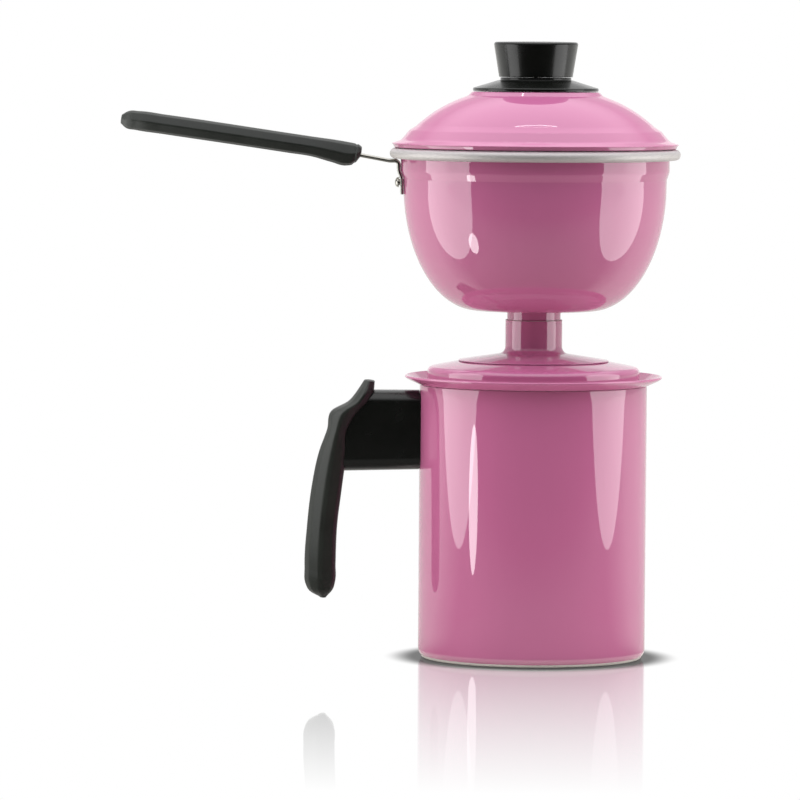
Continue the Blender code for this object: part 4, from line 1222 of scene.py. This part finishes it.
class STEAMER_OT_mug_handle(bpy.types.Operator):
    """Make the mug's neck block and grip"""

    bl_idname = "steamer.mug_handle"
    bl_label = "Mug handle"

    def execute(self, context):
        scene = context.scene
        sizes = scene.steamer_grips
        top = MUG_TOP - sizes.neck_drop
        start = np.array((-MUG_RADIUS - sizes.reach, top))
        scale = np.array((-sizes.mug_sweep, sizes.mug_length))
        outer, inner, half = (np.array(column) for column in zip(*MUG_GRIP_STATIONS))
        outer, inner = start + outer * scale, start + inner * scale
        steps = np.linalg.norm(np.diff((outer + inner) / 2, axis=0), axis=-1)
        run = np.concatenate([[0.0], np.cumsum(steps)])
        wanted = np.linspace(0.0, run[-1], 97)
        first = smooth(outer, run, wanted)
        second = smooth(inner, run, wanted)
        width = smooth(half, run, wanted) * sizes.mug_width / 2
        first, second, width = closed_ends(first, second, width, sizes.mug_tuck)
        ring = ring_of(MUG_GRIP_SECTION, sizes.mug_width / 2, *MUG_GRIP_BEND)
        grip = loft("mug_grip", first, second, width, ring)
        fit = scene.steamer_steam_lid.fit
        seat = MUG_RADIUS + sizes.reach + sizes.mug_screw_seat
        middle = Matrix.Translation((0.0, 0.0, top - sizes.neck_height / 2)) @ TO_MINUS_X
        recess = rod(sizes.mug_screw_head + fit, seat, seat + sizes.mug_width, middle)
        place("mug_grip", carve(grip, recess), "charcoal_phenolic", "mug", "mug_handle_grip")
        shank, head = MUG_SCREW
        slotted_screw(
            "mug_grip_screw", "mug_handle_screw", "mug", (shank, sizes.mug_screw_head, head),
            seat + fit, -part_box("mug_handle_screw")[1].x, middle,
        )
        self.neck(sizes, top, first, second, fit)
        dress("bare_aluminium", "mug_handle_bracket")
        for node in ("mug_rivet_lower", "mug_rivet_upper"):
            domed_rivet(node, "bare_aluminium", "mug", *MUG_RIVET)
        return {"FINISHED"}

    def neck(self, sizes, top, first, second, fit):
        """A rounded block from the mug's wall into the grip.

        Each ring is a rectangle with round corners. Its X runs from the wall, at
        -sqrt(radius^2 - Y^2), to the same share of the way into the grip at each height.
        """
        half = sizes.neck_depth / 2
        bottom = top - sizes.neck_height
        top = top + sizes.neck_lift
        corners = ((half, top), (half, bottom), (-half, bottom), (-half, top))
        ring = rounded([(*corner, sizes.neck_round) for corner in corners], closed=True)
        wall = -np.sqrt((MUG_RADIUS + fit) ** 2 - ring[:, 0] ** 2)
        bite = first + (second - first) * NECK_BITE
        order = np.argsort(bite[:, 1])
        far = np.interp(ring[:, 1], bite[order, 1], bite[order, 0])
        t = np.linspace(0.0, 1.0, 13)[:, None]
        x = wall + (far - wall) * t
        lower = (ring[:, 1] < (top + bottom) / 2) * sizes.neck_taper
        height = ring[:, 1] - lower * (t - 0.5)
        rings = np.stack([x, np.broadcast_to(ring[:, 0], x.shape), height], axis=-1)
        place("mug_neck", capped("mug_neck", rings, 50.0), "black_phenolic", "mug", "mug_handle_neck")


class STEAMER_OT_bowl_handle(bpy.types.Operator):
    """Make the bowl's strap, rivets and grip"""

    bl_idname = "steamer.bowl_handle"
    bl_label = "Bowl handle"

    def execute(self, context):
        scene = context.scene
        grips, strap = scene.steamer_grips, scene.steamer_strap
        bead_foot = BOWL_TOP - 2 * scene.steamer_bowl.bead
        root = np.array((-RIM_RADIUS, bead_foot - strap.fit - strap.leg / 2))
        front = root + np.array((-grips.bowl_out, grips.bowl_rise))
        grip_tilt = math.radians(grips.bowl_tilt)
        along = np.array((-math.cos(grip_tilt), math.sin(grip_tilt)))
        up = np.array((math.sin(grip_tilt), math.cos(grip_tilt)))

        stations = np.array(BOWL_GRIP_STATIONS)
        run = stations[:, 0] * grips.bowl_length
        wanted = np.linspace(0.0, grips.bowl_length, 141)
        top = smooth(stations[:, 1] * grips.bowl_height, run, wanted)
        foot = smooth(stations[:, 2] * grips.bowl_height, run, wanted)
        half = smooth(stations[:, 3], run, wanted) * grips.bowl_width / 2
        line = grips.collar_depth * np.exp(-((wanted - grips.collar_place) / grips.collar_line) ** 2)
        top, foot, half = top - line, foot + line, half - line
        spine = front + along * wanted[:, None]
        lower, upper = spine + up * foot[:, None], spine + up * top[:, None]
        lower, upper, half = closed_ends(lower, upper, half, grips.bowl_tuck)
        ring = ring_of(BOWL_GRIP_SECTION, grips.bowl_width / 2, *BOWL_GRIP_BEND)
        grip = loft("bowl_grip", lower, upper, half, ring)
        frame_at = Matrix((
            (along[0], 0.0, up[0], front[0]), (0.0, -1.0, 0.0, 0.0),
            (along[1], 0.0, up[1], front[1]), (0.0, 0.0, 0.0, 1.0),
        ))
        below = frame_at @ Matrix.Translation((grips.bowl_screw_place, 0.0, 0.0)) @ UPSIDE_DOWN
        way = grips.bowl_screw_head + strap.fit
        recess = rod(way, grips.bowl_screw_seat, grips.bowl_height, below)
        place("bowl_grip", carve(grip, recess), "charcoal_phenolic", "bowl", "bowl_handle_grip")
        shank, head = BOWL_SCREW
        slotted_screw(
            "bowl_grip_screw", "bowl_handle_screw", "bowl", (shank, grips.bowl_screw_head, head),
            grips.bowl_screw_seat + strap.fit, -strap.leg / 2, below,
        )

        slope = math.tan(math.radians(strap.slope))
        entry = root + grips.bowl_out * np.array((-1.0, slope))
        end = entry + along * strap.tang
        _, wall = bowl_lines(scene.steamer_bowl)
        strap_mesh = self.strap(strap, root, entry, end, wall)
        place("bowl_strap", strap_mesh, "bright_steel", "bowl", "bowl_handle_strap")
        for node in ("bowl_rivet_left", "bowl_rivet_right"):
            domed_rivet(node, "bright_steel", "bowl", *BOWL_RIVET)
        return {"FINISHED"}

    def strap(self, sizes, root, entry, end, wall):
        """Carry a section with round edges along the strap's middle line.

        A point of the edge lies at Y = half - edge + edge * cos(a)^p and edge * sin(a)
        below the middle. The power p is 1 on the run, and falls to squarer edges on the
        leg; the run is thicker below the middle, and the leg thins downward. Where the
        strap lies on the bowl, each point is drawn in by the bowl's own roundness there:
        radius - sqrt(radius^2 - Y^2).
        """
        outward = sizes.fit + sizes.leg / 2
        knee = np.array((-radius_at(wall, root[1]) - outward, root[1]))
        start = root[1] - sizes.leg_start * sizes.knee
        heights = np.linspace(start, BOWL_TOP - sizes.foot_drop, 25)
        leg = np.array([(-radius_at(wall, z) - outward, z) for z in heights])
        run = entry + (root - entry) * np.linspace(0.0, 1.0, 33)[:, None]
        path = rounded([(*end, 0), (*entry, sizes.grip_bend), (*run[2], 0)])
        bends = [(*run[-2], 0), (*root, sizes.root_bend), (*knee, sizes.knee), (*leg[0], 0)]
        path = np.concatenate([path, run[3:-2], rounded(bends), leg[1:]])
        steps = np.diff(path, axis=0)
        sides = unit(np.stack([-steps[:, 1], steps[:, 0]], axis=-1))
        normal = -unit(np.concatenate([sides[:1], sides]) + np.concatenate([sides, sides[-1:]]))
        half, edge = sizes.width / 2, sizes.leg / 2
        across = np.linspace(-1.0, 1.0, 25) * (half - edge)
        bend = np.linspace(math.pi / 2, -math.pi / 2, 15)[1:-1]
        none, one, full = np.zeros_like(across), np.ones_like(across), np.ones_like(bend)
        flat_y = np.concatenate([across, full * (half - edge), across[::-1], full * (edge - half)])
        round_y = np.concatenate([none, np.cos(bend), none, -np.cos(bend)])
        out = np.concatenate([one, np.sin(bend), -one, -np.sin(bend)]) * edge
        on_wall = np.clip((path[:, 0] - root[0]) / (knee[0] - root[0]), 0.0, 1.0)[:, None]
        power = 1.0 - (1.0 - sizes.leg_edge) * on_wall
        y = flat_y[None] + edge * np.sign(round_y)[None] * np.abs(round_y)[None] ** power
        down = np.clip((root[1] - path[:, 1]) / sizes.thinning, 0.0, 1.0)[:, None]
        depth = out[None] * (1.0 + sizes.under * (1.0 - down) * (out > 0)[None])
        flat = path[:, None] + normal[:, None] * depth[..., None]
        drawn = (-knee[0] - np.sqrt(knee[0] ** 2 - y ** 2)) * on_wall ** 2
        rings = np.stack([flat[..., 0] + drawn, y, flat[..., 1]], axis=-1)
        return capped("bowl_strap", rings, 60.0)


# Name, setting for its watts, place, point that it faces, width and height, shape
LAMPS = (
    ("left_lamp", "side_power", (-0.28, -0.085, 0.20), (0.0, -0.085, 0.20), (0.25, 0.32), "ELLIPSE"),
    ("right_lamp", "side_power", (0.28, -0.085, 0.20), (0.0, -0.085, 0.20), (0.25, 0.32), "ELLIPSE"),
    ("glint_lamp", "glint_power", (-0.272, -0.172, 0.066), (0.0, -0.172, 0.066), (0.06, 0.085), "ELLIPSE"),
    ("bar_lamp", "bar_power", (-0.03, 0.05, 1.28), (-0.03, 0.05, 0.2), (0.42, 0.006), "RECTANGLE"),
)

# The floor: half its width, how far it lies under the mug, and where the patch painted
# lighter next to the mug for gloss and the strip with a mirror image in it fade out
FLOOR_HALF = 20.0
FLOOR_DROP = 0.0001
PAINTED_LIGHT_PATCH = (MUG_RADIUS + 0.006, MUG_RADIUS + 0.016)
MIRROR_SIDES = (0.14, 0.18)
MIRROR_BACK = (-0.02, 0.02)


class STEAMER_OT_stage(bpy.types.Operator):
    """Make the floor, the lamps, the surround and the camera"""

    bl_idname = "steamer.stage"
    bl_label = "Stage"

    def execute(self, context):
        scene = context.scene
        values = scene.steamer_studio
        self.camera(scene, values)
        self.floor(values)
        self.surround(values)
        for name, power, *where in LAMPS:
            self.lamp(name, getattr(values, power), *where)
        scene.view_settings.view_transform = "Standard"
        return {"FINISHED"}

    def camera(self, scene, values):
        """A long lens a little above the knob, looking a little down."""
        lens = bpy.data.cameras.new("camera")
        lens.lens = values.lens
        lens.clip_end = 100.0
        camera = bpy.data.objects.new("camera", lens)
        camera.location = (values.aside, -values.distance, values.height)
        camera.rotation_euler = (math.radians(90.0 - values.pitch), 0.0, 0.0)
        camera.rotation_euler.rotate_axis("Z", math.radians(values.roll))
        scene.collection.objects.link(camera)
        scene.camera = camera

    def lamp(self, name, power, spot, target, size, shape):
        """An area lamp at a spot, facing a target, unseen by the camera."""
        light = bpy.data.lights.new(name, "AREA")
        light.shape = shape
        light.size, light.size_y = size
        light.energy = power
        lamp = bpy.data.objects.new(name, light)
        lamp.location = spot
        lamp.rotation_euler = (Vector(spot) - Vector(target)).to_track_quat("Z", "Y").to_euler()
        lamp.visible_camera = False
        bpy.context.scene.collection.objects.link(lamp)

    def surround(self, values):
        """White behind everything, a softer white to light it, and a darker front."""
        world = bpy.data.worlds.new("surround")
        bpy.context.scene.world = world
        world.use_nodes = True
        world.node_tree.nodes.clear()
        sky = Nodes(world.node_tree)
        # Y runs from -1 at the camera to 1 behind the steamer, and Z to 1 overhead
        _, y, z = sky.parts("Generated")

        def ramp(source, first, last, low, high):
            return sky.spread(source, low, high, first, last, "SMOOTHSTEP")

        level = ramp(y, -0.35, 0.45, values.front, values.back)
        around = sky.math("MAXIMUM", level, ramp(z, 0.3, 0.75, 0.0, values.sky))
        mirrored = sky.math("MAXIMUM", ramp(y, 0.90, 0.95, 0.0, 1.0), around)
        level = ramp(y, -0.6, 0.6, values.fill_front, values.fill_back)
        soft = sky.math("ADD", level, ramp(z, 0.3, 1.0, 0.0, values.fill_sky))
        path = sky.add("LightPath").outputs
        lit = sky.add("Mix", Factor=path["Is Glossy Ray"], A=soft, B=mirrored).outputs["Result"]
        seen = sky.math("MAXIMUM", path["Is Camera Ray"], path["Is Transmission Ray"])
        strength = sky.add("Mix", Factor=seen, A=lit, B=1.0).outputs["Result"]
        overhead = sky.math("MULTIPLY", ramp(z, 0.2, 0.8, 0.0, 1.0), path["Is Diffuse Ray"])
        cool = sky.add("ValToRGB", Fac=overhead)
        cool.color_ramp.elements[0].color = (1.0, 1.0, 1.0, 1.0)
        cool.color_ramp.elements[1].color = (values.cool, values.cool, 1.0, 1.0)
        background = sky.add("Background", Color=cool.outputs["Color"], Strength=strength)
        sky.add("OutputWorld", Surface=background.outputs[0])

    def floor(self, values):
        """A white floor, clear from below, with a painted contact shadow round the mug and a mirror image
        that fades away.
        """
        ends = np.array((-FLOOR_HALF, FLOOR_HALF))
        x, y = np.meshgrid(ends, ends, indexing="ij")
        corners = np.stack([x, y, np.full_like(x, -FLOOR_DROP)], axis=-1)
        mesh = surface("floor", corners, around=False)
        floor = bpy.data.objects.new("floor", mesh)
        bpy.context.scene.collection.objects.link(floor)
        look = Look("floor", (values.floor_tone,) * 3, 0.9)
        x, y, _ = look.parts()
        far = look.length(x, y)
        path = look.add("LightPath").outputs
        camera, glossy = path["Is Camera Ray"], path["Is Glossy Ray"]

        # What light and gloss see: one tone for light; for gloss a painted tone, painted
        # darker in front of the mug, lighter behind it and lighter still next to it
        way = look.math("DIVIDE", y, far)
        behind = look.spread(way, values.floor_front, values.floor_back, -0.25, 0.3)
        close = look.spread(far, values.floor_near, 0.0, *PAINTED_LIGHT_PATCH)
        mirrored = look.math("MULTIPLY", glossy, look.math("MAXIMUM", behind, close))
        plain = look.math("MULTIPLY", values.floor_tone, look.math("SUBTRACT", 1.0, glossy))
        level = look.math("ADD", plain, mirrored)
        # Painted shade: both tones are painted darker far in front of the mug
        level = look.math("MULTIPLY", level, look.spread(y, 0.1, 1.0, -0.75, -0.35))
        blue = look.math("MULTIPLY", level, values.cool)
        shade = look.add("CombineColor", Red=level, Green=level, Blue=blue)
        matte = look.add("BsdfDiffuse", Color=shade.outputs[0])

        # What the camera sees: white, darkened in a ring round the mug by a painted contact
        # shadow, and the mirror image, dimmed by the same painted shadow
        dark = (values.contact, 1.0, MUG_RADIUS + 0.002, values.shadow_reach)
        white = look.spread(far, *dark, "SMOOTHSTEP")
        shine = look.add("Emission", Color=(1.0, 1.0, 1.0, 1.0), Strength=white)
        dimmed = look.add("CombineColor", Red=white, Green=white, Blue=white)
        mirror = look.add("BsdfGlossy", Color=dimmed.outputs[0], Roughness=0.02)
        aside = look.spread(look.math("ABSOLUTE", x), 1.0, 0.0, *MIRROR_SIDES)
        before = look.spread(y, 1.0, 0.0, *MIRROR_BACK)
        fade = look.spread(far, values.mirror, 0.0, MUG_RADIUS, values.mirror_reach)
        fade = look.math("MULTIPLY", fade, look.math("MULTIPLY", aside, before))
        lit = look.mix(camera, matte, shine)
        whole = look.mix(look.math("MULTIPLY", fade, camera), lit, mirror)
        backface = look.add("NewGeometry").outputs["Backfacing"]
        shown = look.mix(backface, whole, look.add("BsdfTransparent"))
        look.set(look.tree.nodes["Material Output"], Surface=shown.outputs[0])
        mesh.materials.append(look.material)


class STEAMER_PT_panel(bpy.types.Panel):
    """The steamer's pieces, one button each"""

    bl_idname = "STEAMER_PT_panel"
    bl_label = "Couscous steamer"
    bl_space_type = "VIEW_3D"
    bl_region_type = "UI"
    bl_category = "Steamer"

    def draw(self, context):
        for operator in OPERATORS:
            self.layout.operator(operator.bl_idname)
        for name in GROUPS:
            box = self.layout.box()
            group = getattr(context.scene, name)
            for label in group.__annotations__:
                box.prop(group, label)


GROUPS = {
    "steamer_sheet": SheetSizes,
    "steamer_mug": MugSizes,
    "steamer_steam_lid": SteamLidSizes,
    "steamer_bowl": BowlSizes,
    "steamer_lid": LidSizes,
    "steamer_grips": GripSizes,
    "steamer_strap": StrapSizes,
    "steamer_tones": FinishTones,
    "steamer_studio": StudioValues,
}
OPERATORS = (
    STEAMER_OT_stage,
    STEAMER_OT_mug,
    STEAMER_OT_steam_lid,
    STEAMER_OT_bowl,
    STEAMER_OT_sieve,
    STEAMER_OT_lid,
    STEAMER_OT_knob,
    STEAMER_OT_mug_handle,
    STEAMER_OT_bowl_handle,
)


def register():
    """Make the classes and their settings known to Blender."""
    for name, group in GROUPS.items():
        bpy.utils.register_class(group)
        setattr(bpy.types.Scene, name, PointerProperty(type=group))
    for operator in OPERATORS:
        bpy.utils.register_class(operator)
    bpy.utils.register_class(STEAMER_PT_panel)


def unregister():
    """Take the classes and their settings away."""
    bpy.utils.unregister_class(STEAMER_PT_panel)
    for operator in reversed(OPERATORS):
        bpy.utils.unregister_class(operator)
    for name, group in reversed(GROUPS.items()):
        delattr(bpy.types.Scene, name)
        bpy.utils.unregister_class(group)


def main():
    """Build the steamer and its stage."""
    register()
    for operator in OPERATORS:
        group, name = operator.bl_idname.split(".")
        getattr(getattr(bpy.ops, group), name)()


if __name__ == "__main__":
    main()
